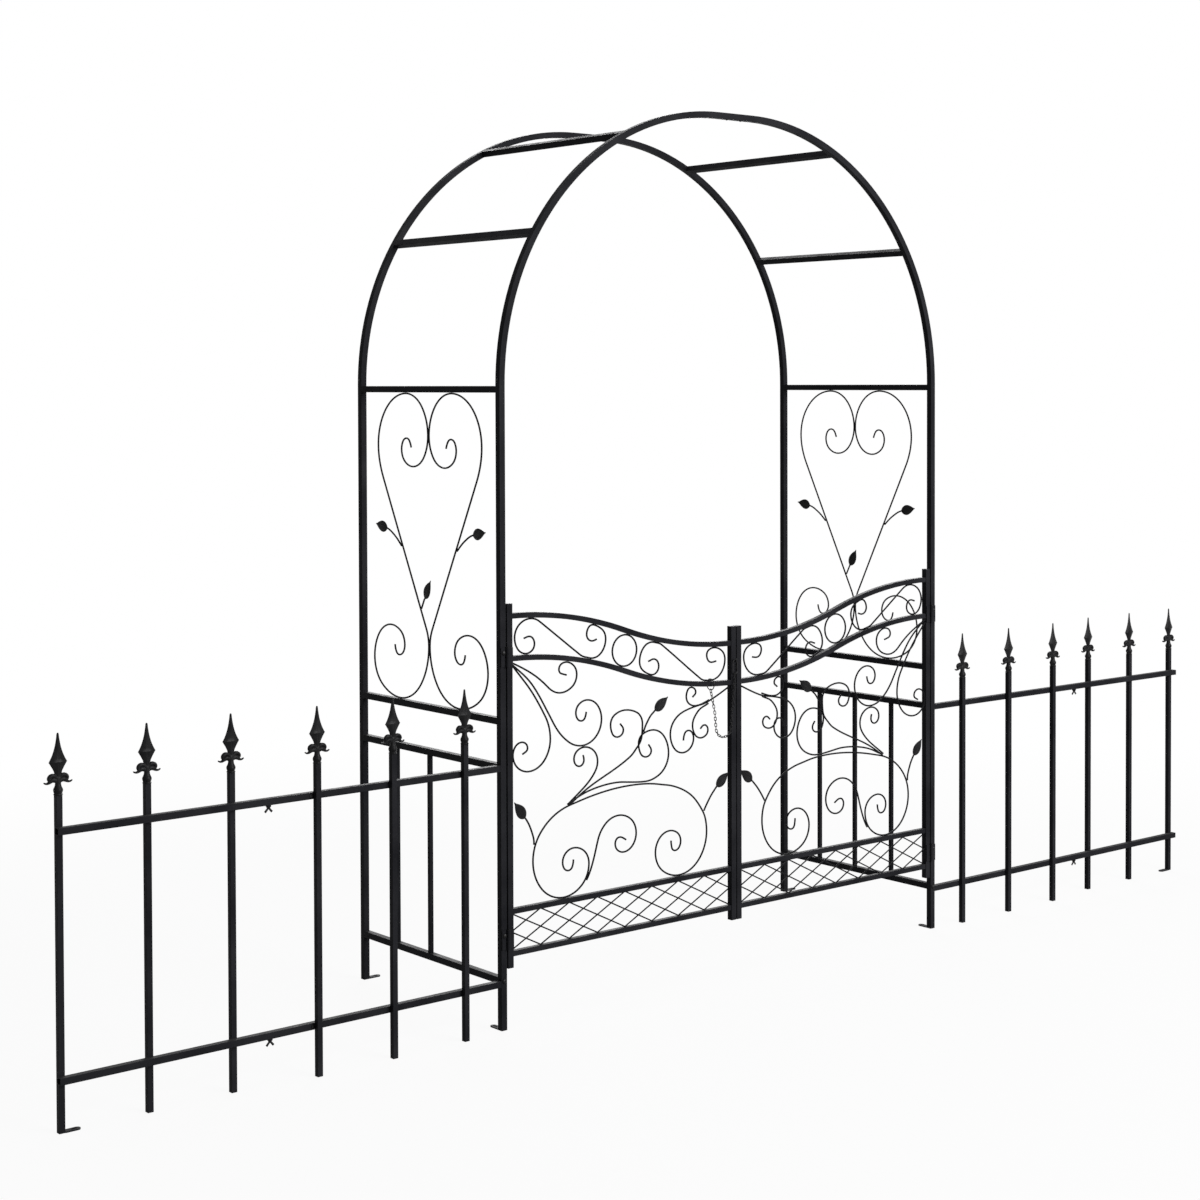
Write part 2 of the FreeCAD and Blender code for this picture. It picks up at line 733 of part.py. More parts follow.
def make_gate_frame(side):
    """Stiles and rails of one leaf."""
    label = SIDE_NAMES[side]
    for kind, line, top in (("hinge", STILE_X, "hinge_stile_top"),
                            ("meeting", MEETING_X, "meeting_stile_top")):
        name, x = f"{label}_{kind}_stile", signed(side, line)
        stile = tube(f"{name}_tube", "z", "stile_size", "stile_wall", f"{top} - stile_bottom",
                     (x, "front_line", f"({top} + stile_bottom) / 2"))
        caps = [end_cap(f"{name}_upper_cap", x, top, 1), end_cap(f"{name}_lower_cap", x, "stile_bottom", -1)]
        node(name, [stile, *caps])
    shaped(f"{label}_top_rail", [curved_rail(side, 0)])
    shaped(f"{label}_second_rail", [curved_rail(side, size("band_height"))])
    middle = signed(side, f"({STILE_FACE} + {MEETING_FACE}) / 2")
    node(f"{label}_lattice_rails",
         [tube(f"{label}_{height}", "x", "gate_rail_size", "gate_rail_wall",
               f"{STILE_FACE} - ({MEETING_FACE})",
               (middle, "front_line", height)) for height in ("lattice_rail_upper", "lattice_rail_lower")])


def make_lattice(side):
    """Two layers of slanted wires between the lattice rails, each cut flush where it meets rail or stile."""
    width, cells, touch = opening_width(), int(size("lattice_cells")), size("touch")
    cell, wire = width / cells, size("lattice_wire")
    top = size("lattice_rail_upper") - size("gate_rail_size") / 2
    bottom = size("lattice_rail_lower") + size("gate_rail_size") / 2
    slope = (top - bottom) / (2 * cell)
    corners = [gate_place(side, 2 * wire)(touch, bottom), gate_place(side, 2 * wire)(width - touch, bottom)]
    corner = FreeCAD.Vector(min(point.x for point in corners), corners[0].y, bottom + touch)
    opening = Part.makeBox(width - 2 * touch, 4 * wire, top - bottom - 2 * touch, corner)
    wires = []
    for layer, mirrored in (((wire + touch) / 2, False), (-(wire + touch) / 2, True)):
        place = gate_place(side, layer)
        for number in range(-1, cells):
            ends = [(number * cell - wire, top + slope * wire),
                    ((number + 2) * cell + wire, bottom - slope * wire)]
            points = [place(width - across if mirrored else across, up) for across, up in ends]
            run = points[1] - points[0]
            wires.extend(Part.makeCylinder(wire / 2, run.Length, points[0], run).common(opening).Solids)
    shaped(f"{SIDE_NAMES[side]}_lattice", wires)


def make_band_scrolls(side):
    """A ring between two long S scrolls in the band under the top rail."""
    wire, drop = size("scroll_wire"), size("band_height")
    fit = opening_width() / DRAWN_OPENING
    place = gate_place(side)

    def at(across, up, turn):
        level = (rail_curve(across * fit, 0)[0] + rail_curve(across * fit, drop)[0]) / 2
        return (across * fit, level + up, turn)

    first = [at(40, -5, 15), at(55, -1, 0), at(71.5, -19, -90), against(45 * fit, drop, True, 180),
             at(12, -3, 90), against(62 * fit, 0, False), at(87, 35, -36), at(210, -37.5, -36),
             against(240 * fit, drop, True), at(292, 15, 90), against(256 * fit, 0, False, 180),
             at(232, 14.5, -90), at(250, 1.5, 0), at(263, 8, 20)]
    second = [at(430, -9.5, 10), at(446.5, -1, 0), at(464, -16, -90), against(435 * fit, drop, True, 180),
              at(401, -16.5, 90), against(451 * fit, 0, False), at(475, 39, -36), at(604, -37, -36),
              against(RAIL_RING_ACROSS * fit, drop, True), at(689, 10.5, 90),
              against(652 * fit, 0, False, 180), at(626, 23, -90), at(643, 4.5, 0), at(658, 7, 10)]
    middle = opening_width() / 2
    upper, slope = rail_curve(middle, 0)
    gap = drop * math.cos(math.radians(slope)) - size("gate_rail_size")
    ring = Part.makeTorus(gap / 2 - wire / 2 - size("touch"), wire / 2, place(middle, upper - drop / 2),
                          FreeCAD.Vector(0, 1, 0))
    shaped(f"{SIDE_NAMES[side]}_band_scrolls",
           [bent_wire(first, place, wire), ring, bent_wire(second, place, wire)])


def make_panel_scrolls(side):
    """The scrollwork of the large panel, in two layers of wire, and its leaves."""
    wire, drop = size("scroll_wire"), size("band_height")
    reach = wire / 2 + size("touch")
    floor = size("lattice_rail_upper") + size("gate_rail_size") / 2
    width = opening_width()
    fit = width / DRAWN_OPENING
    grow = (rail_curve(width / 2, drop)[0] - floor) / DRAWN_PANEL
    back, front = gate_place(side), gate_place(side, wire + size("touch"))

    def at(across, up, turn):
        """A station of the drawing, heights counted from the top of the lattice rail."""
        return (across * fit, floor + up * grow, turn)

    def at_stile(up, turn):
        """A wire's end on the hinge stile, cut square, just clear of its face."""
        return (abs(math.sin(math.radians(turn))) * wire / 2 + size("touch"), floor + up * grow, turn)

    def at_meeting(up, turn):
        """A wire's end on the meeting stile."""
        return (width - abs(math.sin(math.radians(turn))) * wire / 2 - size("touch"), floor + up * grow, turn)

    def on_floor(across, turn):
        """Where a scroll stands on the lattice rail."""
        return (across * fit, floor + reach, turn)

    corner_curl = [at_stile(590, -24), at(94, 535, -40), at(112, 519, -41), at(148, 505, 0), at(197, 546, 90),
                   against(169 * fit, drop, False, 180), at(142, 562, -90), at(165, 547, -15)]
    corner_long = [at_stile(587, -37), at(69.5, 525, -53), at(114, 456, -58.5), at(143, 411, -51),
                   at(217, 368, 0), at(278, 428, 90), at(231, 479, 180), at(197.5, 450, -90), at(215, 429, 0),
                   at(230, 450, 85)]
    corner_drop = [at_stile(583, -49), at(69.5, 501, -56), at(115, 396, -90), at(50, 324, 180),
                   (reach, floor + 368 * grow, 90), at(28, 397, 0), at(46, 381, -90), at(31, 368, -155)]
    great_arch = [at(188.5, 91, -90), at(173, 66, 180), at(155, 88, 90), at(189.5, 119.5, 0),
                  at(237, 75, -90), on_floor(158, 180), at(64.5, 103, 90), at(143, 214, 25),
                  at(217, 234.5, 12), at(370, 251.3, 0), at(463, 243, -12), at(512.5, 232, -18),
                  at(562, 209, -33), at(611, 156, -58), at(624.5, 103, -90), on_floor(530, 180),
                  at(451.5, 70, 90), at(499, 120, 0), at(536, 89, -90), at(517.5, 67, 180), at(503.5, 94, 92)]
    fan_low = [beside(great_arch, 172 * fit, floor + 224 * grow, 1, 3), at(217, 248, 19), at(266, 259.5, 9),
               at(322, 264, 0), at(374.5, 259, -7), at(422, 255.5, 0), at(463, 266, 27), at(496, 319, 90),
               at(440.5, 383, 180), at(397, 353, -90), at(422, 317, 0), at(438.5, 331, 90), at(430, 347, 125)]
    fan_middle = [at(173, 227.5, 33), at(242, 267.5, 25), at(315.5, 299, 23.5), at(365, 324, 31),
                  at(392, 349, 45), at(406, 403, 90), at(348, 443, 180), at(303, 410, -90), at(325.5, 378, 0),
                  at(344, 394, 90), at(334, 410, 130)]
    fan_short = [beside(fan_middle, 172 * fit, floor + 227 * grow, 1, 2), at(217, 264, 36), at(242, 286, 46),
                 at(261.5, 325, 90), at(219, 364.5, 180), at(187.5, 338, -90), at(205, 319, 0),
                 at(218.5, 333, 90), at(216, 345, 110)]
    inner_curl = [beside(great_arch, 226 * fit, floor + 36 * grow, 1, back=True), at(250.5, 79, 71),
                  at(265.5, 128, 73), at(331.5, 181, 0), at(388.5, 130, -90), at(348, 87, 180),
                  at(320.5, 111, 90), at(334, 126, 0), at(355, 117, -33)]
    latch_long = [at_meeting(469, 206), at(630.5, 437, 200), at(581.5, 427.5, 190), at(540, 416.5, 202),
                  at(502, 365, 270), at(545, 314, 0), at(580.5, 348, 90), at(562, 369, 180),
                  at(546, 345, 268)]
    latch_low = [at(627, 433, 204), at(592.5, 416.5, 222), at(573, 381, 270), at(602, 346.5, 0),
                 at(625.5, 365, 90), at(613, 378.5, 180), at(600, 370, 228)]
    latch_high = [at(629, 441.5, 200), at(583.5, 431, 180), at(552, 457, 90), against(571 * fit, drop, False),
                  at(584, 466, -90), at(573.5, 454, -135)]
    stem_hinge = [beside(great_arch, 70 * fit, floor + 143 * grow, 1, 15), at(58.5, 183, 112),
                  at(42.5, 211, 127)]
    stem_meeting = [beside(great_arch, 612 * fit, floor + 154 * grow, 1, 120), at(636.5, 188, 53),
                    at(659, 213, 47)]
    stem_middle = [beside(fan_middle, 404 * fit, floor + 381 * grow, -1, -10), at(430, 417, 52),
                   at(447, 432, 40)]
    wires = [bent_wire(stations, back, wire) for stations in
             (corner_long, fan_low, great_arch, inner_curl, latch_long, stem_hinge, stem_meeting)]
    wires += [bent_wire(stations, front, wire) for stations in
              (corner_curl, corner_drop, fan_short, fan_middle, latch_low, latch_high, stem_middle)]
    shaped(f"{SIDE_NAMES[side]}_panel_scrolls", wires)
    stems = [(stem_hinge, back, 128), (stem_meeting, back, 38), (stem_middle, front, 35)]
    leaves = [leaf_on(stem, place, bearing) for stem, place, bearing in stems]
    shaped(f"{SIDE_NAMES[side]}_gate_leaves", leaves)


# Hinges

def hinge_leaf(name, side, middle, fixed):
    """A flat plate with its share of the knuckles: the middle one on the post, the outer two on the gate."""
    outwards = 1 if fixed else -1
    knuckle = "(hinge_height - 2 * knuckle_gap) / 3"
    plate_reach = "knuckle_radius + hinge_plate_clearance + hinge_plate_width / 2"
    plate_middle = f"{HINGE_X} + {outwards} * ({plate_reach})"
    plate = block(f"{name}_plate", ("hinge_plate_width", "hinge_plate", "hinge_height"),
                  (signed(side, plate_middle), "front_line - post_size / 2 - hinge_plate / 2", middle))
    if fixed:
        spans = [(f"{middle} - {knuckle} / 2", knuckle)]
    else:
        spans = [(f"{middle} - hinge_height / 2", knuckle),
                 (f"{middle} + hinge_height / 2 - {knuckle}", knuckle)]
    parts = [plate]
    bridge_middle = f"{HINGE_X} + {outwards} * (knuckle_radius + 2) / 2"
    for number, (bottom, length) in enumerate(spans):
        parts.append(rod(f"{name}_knuckle{number}", "knuckle_radius", length,
                         (signed(side, HINGE_X), HINGE_Y, bottom), "z"))
        parts.append(block(f"{name}_bridge{number}", ("knuckle_radius + 2", "hinge_plate", length),
                           (signed(side, bridge_middle), "front_line - post_size / 2 - hinge_plate / 2",
                            f"{bottom} + {length} / 2")))
    bore = rod(f"{name}_bore", "pin_radius + pin_clearance", "hinge_height + 2",
               (signed(side, HINGE_X), HINGE_Y, f"{middle} - hinge_height / 2 - 1"), "z")
    tools = [bore]
    if fixed:
        start = (post_x(side), "front_line - post_size / 2 - hinge_plate - 1", f"{middle} + hinge_bolt_rise")
        tools.append(rod(f"{name}_hole", "bolt_radius + bolt_clearance", "hinge_plate + 2", start, "y"))
    return cut(name, join(f"{name}_whole", *parts), *tools)


def hinge_pin(name, side, middle):
    """A headed pin through the knuckles."""
    x = signed(side, HINGE_X)
    shank = rod(f"{name}_shank", "pin_radius", "hinge_height + knuckle_gap",
                (x, HINGE_Y, f"{middle} - hinge_height / 2"), "z")
    head = rod(f"{name}_head", "pin_head_radius", "pin_head_height",
               (x, HINGE_Y, f"{middle} + hinge_height / 2 + knuckle_gap"), "z")
    return join(name, shank, head)


def round_bolt(name, x, seat, height):
    """A round-headed bolt that enters a post from the front, its head on the seat."""
    shank = rod(f"{name}_shank", "bolt_radius", "bolt_length", (x, seat, height), "y")
    head = rod(f"{name}_head", "bolt_head_radius", "bolt_head_height",
               (x, f"{seat} - bolt_head_height", height), "y")
    return join(name, shank, head)


def make_hinges():
    """Two knuckle hinges per leaf, their pins, and the bolts on the front posts."""
    fixed, pins, bolts = [], [], []
    for side in (LEFT, RIGHT):
        label = SIDE_NAMES[side]
        moving = []
        for place, middle in HINGE_HEIGHTS.items():
            tag = f"{label}_{place}"
            fixed.append(hinge_leaf(f"hinge_fixed_{tag}", side, middle, True))
            moving.append(hinge_leaf(f"hinge_moving_{tag}", side, middle, False))
            pins.append(hinge_pin(f"hinge_pin_{tag}", side, middle))
            bolts.append(round_bolt(f"hinge_bolt_{tag}", post_x(side),
                                    "front_line - post_size / 2 - hinge_plate", f"{middle} + hinge_bolt_rise"))
        bolts.append(round_bolt(f"rung_bolt_{label}", post_x(side), "front_line - post_size / 2", "rung_low"))
        node(f"{label}_leaf_hinges", moving)
    node("post_hinges", fixed)
    node("hinge_pins", pins)
    node("post_bolts", bolts)


# Latch chain, on the left leaf

def stadium(centre, along, across, inside, width, wire):
    """A closed oval link about a centre: its long way, its flat way, and its inside measures."""
    half = (width + wire) / 2
    run = (inside - width) / 2
    ends = [centre - along * run, centre + along * run]
    sides = [across * half, across * -half]
    edges = [Part.LineSegment(ends[0] + sides[0], ends[1] + sides[0]).toShape(),
             Part.Arc(ends[1] + sides[0], ends[1] + along * half, ends[1] + sides[1]).toShape(),
             Part.LineSegment(ends[1] + sides[1], ends[0] + sides[1]).toShape(),
             Part.Arc(ends[0] + sides[1], ends[0] - along * half, ends[0] + sides[0]).toShape()]
    return swept(edges, wire)


def rail_ring_centre():
    """The ring hangs on the S scroll where that stands on the second rail."""
    across, up, _ = against(RAIL_RING_ACROSS * opening_width() / DRAWN_OPENING, size("band_height"), True)
    reach = size("rail_ring_radius") - size("scroll_wire") / 2 - size("touch")
    forward = size("rail_ring_forward")
    point = gate_place(LEFT, forward)(across, up)
    point.z -= math.sqrt(reach ** 2 - forward ** 2)
    return point


def end_ring_centre():
    """The end ring hangs with its inside on the hook."""
    y = size("front_line") - size("stile_size") / 2 - size("end_ring_forward")
    top = size("hook_height") + size("hook_wire") / 2 + size("touch")
    return FreeCAD.Vector(-worked(MEETING_X), y, top - size("end_ring_inside") / 2)


def tangent_point(point, centre, radius, hand):
    """Where the line from a point touches a circle in the XZ plane, on one hand of the line to its centre."""
    away = point - centre
    lean = math.atan2(away.z, away.x) + hand * math.acos(radius / math.hypot(away.x, away.z))
    return centre + FreeCAD.Vector(radius * math.cos(lean), 0, radius * math.sin(lean))


def loop_knots(start, end, low_centre):
    """Points one link apart along a loop: down a line, round its low end, up a line."""
    radius = size("chain_turn_radius")
    down = tangent_point(start, low_centre, radius, 1)
    rise = tangent_point(end, low_centre, radius, -1)
    bottom = low_centre - FreeCAD.Vector(0, 0, radius)
    path = Part.Wire([Part.LineSegment(start, down).toShape(), Part.Arc(down, bottom, rise).toShape(),
                      Part.LineSegment(rise, end).toShape()])
    return path.discretize(Number=int(size("chain_count")) + 1)


def chain_knots():
    """The joints between links, from the rail ring to the end ring; their number gives the loop's depth."""
    half_gap = size("chain_slack") / 2
    pitch = size("chain_link_inside") - size("chain_slack")
    ring, oval = rail_ring_centre(), end_ring_centre()
    start = FreeCAD.Vector(ring.x, 0, ring.z - size("rail_ring_radius") + half_gap)
    end = FreeCAD.Vector(oval.x, 0, oval.z - size("end_ring_inside") / 2 + half_gap)
    low, high = start.z - 400, start.z - size("chain_turn_radius") - 1
    x = -worked(MEETING_X) - size("chain_turn_from_stile")
    for _ in range(50):
        middle = (low + high) / 2
        knots = loop_knots(start, end, FreeCAD.Vector(x, 0, middle))
        spans = [(b - a).Length for a, b in zip(knots, knots[1:])]
        if sum(spans) / len(spans) > pitch:
            low = middle
        else:
            high = middle
    for number, knot in enumerate(knots):
        share = min(1, number * pitch / size("chain_forward_run"))
        knot.y = ring.y + (oval.y - ring.y) * share
    return knots


def link_turn(number):
    """A link's turn about the chain: a quarter turn from its neighbour's, and slanted away from the rings."""
    from_ring = min(number, size("chain_count") - 1 - number)
    lay = size("chain_lay") * min(1, from_ring / size("chain_lay_run"))
    return math.radians(lay + 90 * (number % 2))


def make_chain():
    """Oval links in a slack loop, a ring round the second rail, and an end ring on a hook."""
    wire, ring_wire = size("chain_wire"), size("ring_wire")
    links = []
    knots = chain_knots()
    for number, (start, end) in enumerate(zip(knots, knots[1:])):
        along = (end - start).normalize()
        flat_way = along.cross(FreeCAD.Vector(0, 1, 0)).normalize()
        turn = link_turn(number)
        across = flat_way * math.cos(turn) + flat_way.cross(along) * math.sin(turn)
        links.append(stadium((start + end) * 0.5, along, across, size("chain_link_inside"),
                             size("chain_link_width"), wire))
    shaped("chain_links", links)
    ring = Part.makeTorus(size("rail_ring_radius") + ring_wire / 2, ring_wire / 2, rail_ring_centre(),
                          FreeCAD.Vector(1, 0, 0))
    oval = stadium(end_ring_centre(), FreeCAD.Vector(0, 0, 1), FreeCAD.Vector(1, 0, 0),
                   size("end_ring_inside"), size("end_ring_width"), ring_wire)
    shaped("chain_rings", [ring, oval])
    root = FreeCAD.Vector(-worked(MEETING_X), size("front_line") - size("stile_size") / 2 - size("touch"),
                          size("hook_height"))
    reach, bend, rise = size("hook_reach"), size("hook_bend"), size("hook_rise")

    def at(forward, up):
        return root + FreeCAD.Vector(0, -forward, up)

    turn = bend * math.sqrt(0.5)
    knee, shin, tip = at(reach, 0), at(reach + bend, bend), at(reach + bend, bend + rise)
    edges = [Part.LineSegment(at(0, 0), knee).toShape(),
             Part.Arc(knee, at(reach + turn, bend - turn), shin).toShape(),
             Part.LineSegment(shin, tip).toShape()]
    shaped("chain_hook", [swept(edges, size("hook_wire"))])


def make_gate():
    """Both leaves."""
    for side in (LEFT, RIGHT):
        make_gate_frame(side)
        make_lattice(side)
        make_band_scrolls(side)
        make_panel_scrolls(side)


# Fence wings

def make_inner_fence():
    """The sections fixed to the front posts: rails, pickets in front of them, spigots and their screws."""
    rails, pickets, spigots, screws = [], [], [], []
    length = f"{SEAM_X} - arch_width / 2 - post_size / 2"
    middle = f"({SEAM_X} + arch_width / 2 + post_size / 2) / 2"
    spigot_width = "rail_size - 2 * rail_wall - 2 * spigot_clearance"
    for side in (LEFT, RIGHT):
        label = SIDE_NAMES[side]
        for place, height in RAIL_HEIGHTS.items():
            entry = (signed(side, SPIGOT_SCREW_X), "front_line - rail_size / 2 - 1", height)
            holes = [rod(f"inner_{place}_rail_hole{number}_{label}", "screw_radius + bolt_clearance",
                         "rail_size / 2", entry, "y") for number in range(2)]
            rails.append(tube(f"inner_{place}_rail_{label}", "x", "rail_size", "rail_wall", length,
                              (signed(side, middle), "front_line", height), holes[:1]))
            spigots.append(tube(f"spigot_{place}_{label}", "x", spigot_width, "spigot_wall",
                                "2 * spigot_reach", (signed(side, SEAM_X), "front_line", height), holes[1:]))
            start = "front_line - rail_size / 2"
            shank = rod(f"spigot_screw_{place}_{label}_shank", "screw_radius", "screw_length",
                        (signed(side, SPIGOT_SCREW_X), start, height), "y")
            head = rod(f"spigot_screw_{place}_{label}_head", "screw_head_radius", "screw_head_height",
                       (signed(side, SPIGOT_SCREW_X), f"{start} - screw_head_height", height), "y")
            screws.append(join(f"spigot_screw_{place}_{label}", shank, head))
        for number in range(3):
            centre = (signed(side, picket_x(number)), INNER_PICKET_Y, "picket_top / 2")
            pickets.append(tube(f"inner_picket_{label}_{number}", "z", "picket_size", "picket_wall",
                                "picket_top", centre))
    node("inner_rails", rails)
    node("inner_pickets", pickets)
    node("spigots", spigots)
    node("spigot_screws", screws)


def make_outer_fence(side):
    """A sliding outer section: rails with weld-nut bosses, pickets behind them, an end foot, wing bolts."""
    label = SIDE_NAMES[side]
    rails, pickets = [], []
    length = f"{RAIL_END_X} - ({SEAM_X})"
    for place, height in RAIL_HEIGHTS.items():
        name = f"{label}_wing_{place}_rail"
        under = f"{height} - rail_size / 2 - boss_height"
        boss = rod(f"{name}_boss", "boss_radius", "boss_height",
                   (signed(side, WING_BOLT_X), "front_line", under), "z")
        hole = rod(f"{name}_hole", "bolt_radius + pin_clearance", "boss_height + rail_wall + 2",
                   (signed(side, WING_BOLT_X), "front_line", f"{under} - 1"), "z")
        plain = tube(f"{name}_tube", "x", "rail_size", "rail_wall", length,
                     (signed(side, f"({RAIL_END_X} + {SEAM_X}) / 2"), "front_line", height))
        rails.append(cut(name, join(f"{name}_whole", plain, boss), hole))
        make_wing_bolt(side, place)
    for number in range(3, 6):
        pickets.append(tube(f"{label}_wing_picket_{number}", "z", "picket_size", "picket_wall", "picket_top",
                            (signed(side, picket_x(number)), OUTER_PICKET_Y, "picket_top / 2")))
    node(f"{label}_wing_rails", rails)
    node(f"{label}_wing_pickets", pickets)
    tab = foot_tab(f"{label}_wing_tab")
    turn = 180 if side == RIGHT else 0
    place_tab(tab, signed(side, f"{picket_x(5)} - picket_size / 2"), OUTER_PICKET_Y, turn)
    node(f"{label}_wing_foot", [tab])


def make_wing_bolt(side, place):
    """A bolt with two splayed wings, screwed up through the boss until it bears on the spigot."""
    under = size("rail_low" if place == "lower" else "rail_up") - size("rail_size") / 2 - size("boss_height")
    seat = FreeCAD.Vector(side * worked(WING_BOLT_X), size("front_line"), under)
    up = FreeCAD.Vector(0, 0, 1)
    tip = size("boss_height") + size("rail_wall") + size("spigot_clearance") / 2
    head_top, head = size("knuckle_gap"), size("wing_bolt_head_height")
    root = seat - up * (head_top + head / 2)
    shank = Part.makeCylinder(size("bolt_radius"), tip + head_top + head / 2, root, up)
    knob = Part.makeCylinder(size("wing_bolt_head_radius"), head, seat - up * (head_top + head), up)
    length, width, thickness = size("wing_length"), size("wing_width"), size("wing_thickness")
    wings = []
    for turn in (-1, 1):
        wing = Part.makeBox(width, thickness, length, FreeCAD.Vector(-width / 2, -thickness / 2, -length))
        wing.rotate(FreeCAD.Vector(), FreeCAD.Vector(0, 1, 0), turn * size("wing_splay_deg"))
        wing.translate(root)
        wings.append(wing)
    shaped(f"{SIDE_NAMES[side]}_{place}_wing_bolt", [shank.fuse([knob] + wings).removeSplitter()])


# Finials

def finial_solid():
    """A flat cast spear on a square socket, with a curl to each side, and a plug for the picket's bore."""
    socket, rise = size("finial_socket"), size("finial_socket_height")
    neck, wide, thick = size("finial_neck"), size("finial_width"), size("finial_thickness")
    shoulder, top = size("finial_shoulder"), size("finial_height")
    sections = [(0, socket, socket), (rise, socket, socket), (rise + 8, neck, neck * 0.8),
                (shoulder - 30, neck * 1.4, neck * 0.8), (shoulder, wide, thick),
                (shoulder + 0.3 * (top - shoulder), wide * 0.54, thick * 0.8),
                (shoulder + 0.64 * (top - shoulder), wide * 0.27, thick * 0.55), (top, 2.4, 2.4)]
    wires = []
    for height, across, deep in sections:
        turns = ((1, 1), (-1, 1), (-1, -1), (1, -1))
        corners = [FreeCAD.Vector(x * across / 2, y * deep / 2, height) for x, y in turns]
        wires.append(Part.makePolygon(corners + corners[:1]))
    spear = Part.makeLoft(wires, True, True)
    plug_width = size("picket_size") - 2 * size("picket_wall") - 2 * size("finial_plug_clearance")
    plug = Part.makeBox(plug_width, plug_width, size("finial_plug"),
                        FreeCAD.Vector(-plug_width / 2, -plug_width / 2, -size("finial_plug")))
    return spear.fuse([plug] + [curl_solid(turn) for turn in (1, -1)]).removeSplitter()


def curl_solid(turn):
    """A rolled leaf beside the spear's neck, with its tail pointing out."""
    reach, deep = size("curl_reach"), size("curl_thickness")
    low = size("finial_socket_height")

    def at(across, up):
        return FreeCAD.Vector(turn * reach * across, -deep / 2, low + up)

    start, tip, tip_top = at(0.05, 8), at(1, 14), at(0.97, 16)
    notch, crown, root = at(0.69, 17), at(0.54, 33), at(0.05, 36)
    edges = [Part.Arc(start, at(0.5, 8.5), tip).toShape(), Part.LineSegment(tip, tip_top).toShape(),
             Part.Arc(tip_top, at(0.82, 14), notch).toShape(), Part.Arc(notch, at(0.77, 26), crown).toShape(),
             Part.LineSegment(crown, root).toShape(), Part.LineSegment(root, start).toShape()]
    return Part.Face(Part.Wire(edges)).extrude(FreeCAD.Vector(0, deep, 0))


def make_finials():
    """A finial on every picket."""
    pattern = finial_solid()
    rows = {"inner_finials": ((LEFT, RIGHT), range(3), INNER_PICKET_Y),
            "left_wing_finials": ((LEFT,), range(3, 6), OUTER_PICKET_Y),
            "right_wing_finials": ((RIGHT,), range(3, 6), OUTER_PICKET_Y)}
    for name, (sides, numbers, line) in rows.items():
        copies = []
        for side in sides:
            for number in numbers:
                copy = pattern.copy()
                place = FreeCAD.Vector(side * worked(picket_x(number)), worked(line), size("picket_top"))
                copy.translate(place)
                copies.append(copy)
        shaped(name, copies)


# Checking and writing

def check_document():
    """Stops on a failed object or a null or invalid shape."""
    DOC.recompute()
    for item in DOC.Objects:
        if "Invalid" in item.State or "Error" in item.State:
            raise ValueError(f"{item.Label}: {item.State}")
    for name, item in NODES.items():
        if item.Shape.isNull() or not item.Shape.isValid() or not item.Shape.Solids:
            raise ValueError(f"{name}: no valid shape")


def write_nodes():
    """Writes each node to its own file."""
    os.makedirs("parts", exist_ok=True)
    for name, item in NODES.items():
        item.Shape.exportStep(f"parts/{name}.step")
        print(f"{name}: {len(item.Shape.Solids)} solids, {item.Shape.Volume / 1000:.1f} cm3")


def main():
    fill_sheet()
    make_posts()
    make_foot_tabs()
    make_sides()
    make_arch_tubes()
    make_sleeves()
    make_arch_rungs()
    make_side_scrolls()
    make_gate()
    make_hinges()
    make_chain()
    make_inner_fence()
    for side in (LEFT, RIGHT):
        make_outer_fence(side)
    make_finials()
    check_document()
    write_nodes()


main()
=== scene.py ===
import json
import logging
import math
from dataclasses import dataclass, field
from enum import Enum
from typing import Callable, Sequence

import bmesh
import bpy
from mathutils import Matrix, Vector


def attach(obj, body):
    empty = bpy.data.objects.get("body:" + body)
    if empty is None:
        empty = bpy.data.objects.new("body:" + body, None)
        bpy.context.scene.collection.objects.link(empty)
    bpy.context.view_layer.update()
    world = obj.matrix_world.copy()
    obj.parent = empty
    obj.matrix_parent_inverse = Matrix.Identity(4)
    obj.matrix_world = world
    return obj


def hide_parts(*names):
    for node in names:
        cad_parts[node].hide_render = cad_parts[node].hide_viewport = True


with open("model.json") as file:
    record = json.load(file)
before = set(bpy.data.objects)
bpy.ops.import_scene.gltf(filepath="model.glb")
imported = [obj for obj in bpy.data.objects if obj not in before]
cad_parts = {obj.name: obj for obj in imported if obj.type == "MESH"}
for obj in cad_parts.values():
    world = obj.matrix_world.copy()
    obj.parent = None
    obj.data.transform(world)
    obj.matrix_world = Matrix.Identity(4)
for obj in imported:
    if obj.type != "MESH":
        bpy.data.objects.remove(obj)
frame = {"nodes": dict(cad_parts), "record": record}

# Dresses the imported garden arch: coats on every steel piece, and finer leaves, spear finials, wing bolts and
# bolt heads in place of their plain solids. Sizes of pieces are in millimetres, as a maker writes them.

Socket = bpy.types.NodeSocket
Finish = bpy.types.Material
Piece = bpy.types.Object
Colour = tuple[float, float, float]
Triple = tuple[float, float, float]
Span = tuple[float, float]
Value = Socket | Colour | float

LOG = logging.getLogger("garden_arch")
MM = 0.001
ORIGIN: Triple = (0.0, 0.0, 0.0)
WHITE: Colour = (1.0, 1.0, 1.0)

# The line of the front posts and the gate, how far the posts stand from the middle, and the way to the front
FRONT_LINE = -293.0
POST_LINE = 750.0
TO_FRONT = Vector((0.0, -1.0, 0.0))

# Points of a mesh that lie closer than this, in metres, are one
SAME_PLACE = 0.00001


class Side(Enum):
    """The two hands of the arch, seen from in front of the gate."""

    LEFT = -1
    RIGHT = 1

    @property
    def label(self) -> str:
        """The side's name as the nodes use it."""
        return self.name.lower()


class Coat(Enum):
    """The record's material slots."""

    FRAME = "frame_coat"
    WIRE = "wire_coat"
    CAST = "cast_coat"
    HARDWARE = "dark_hardware"


# Finishes


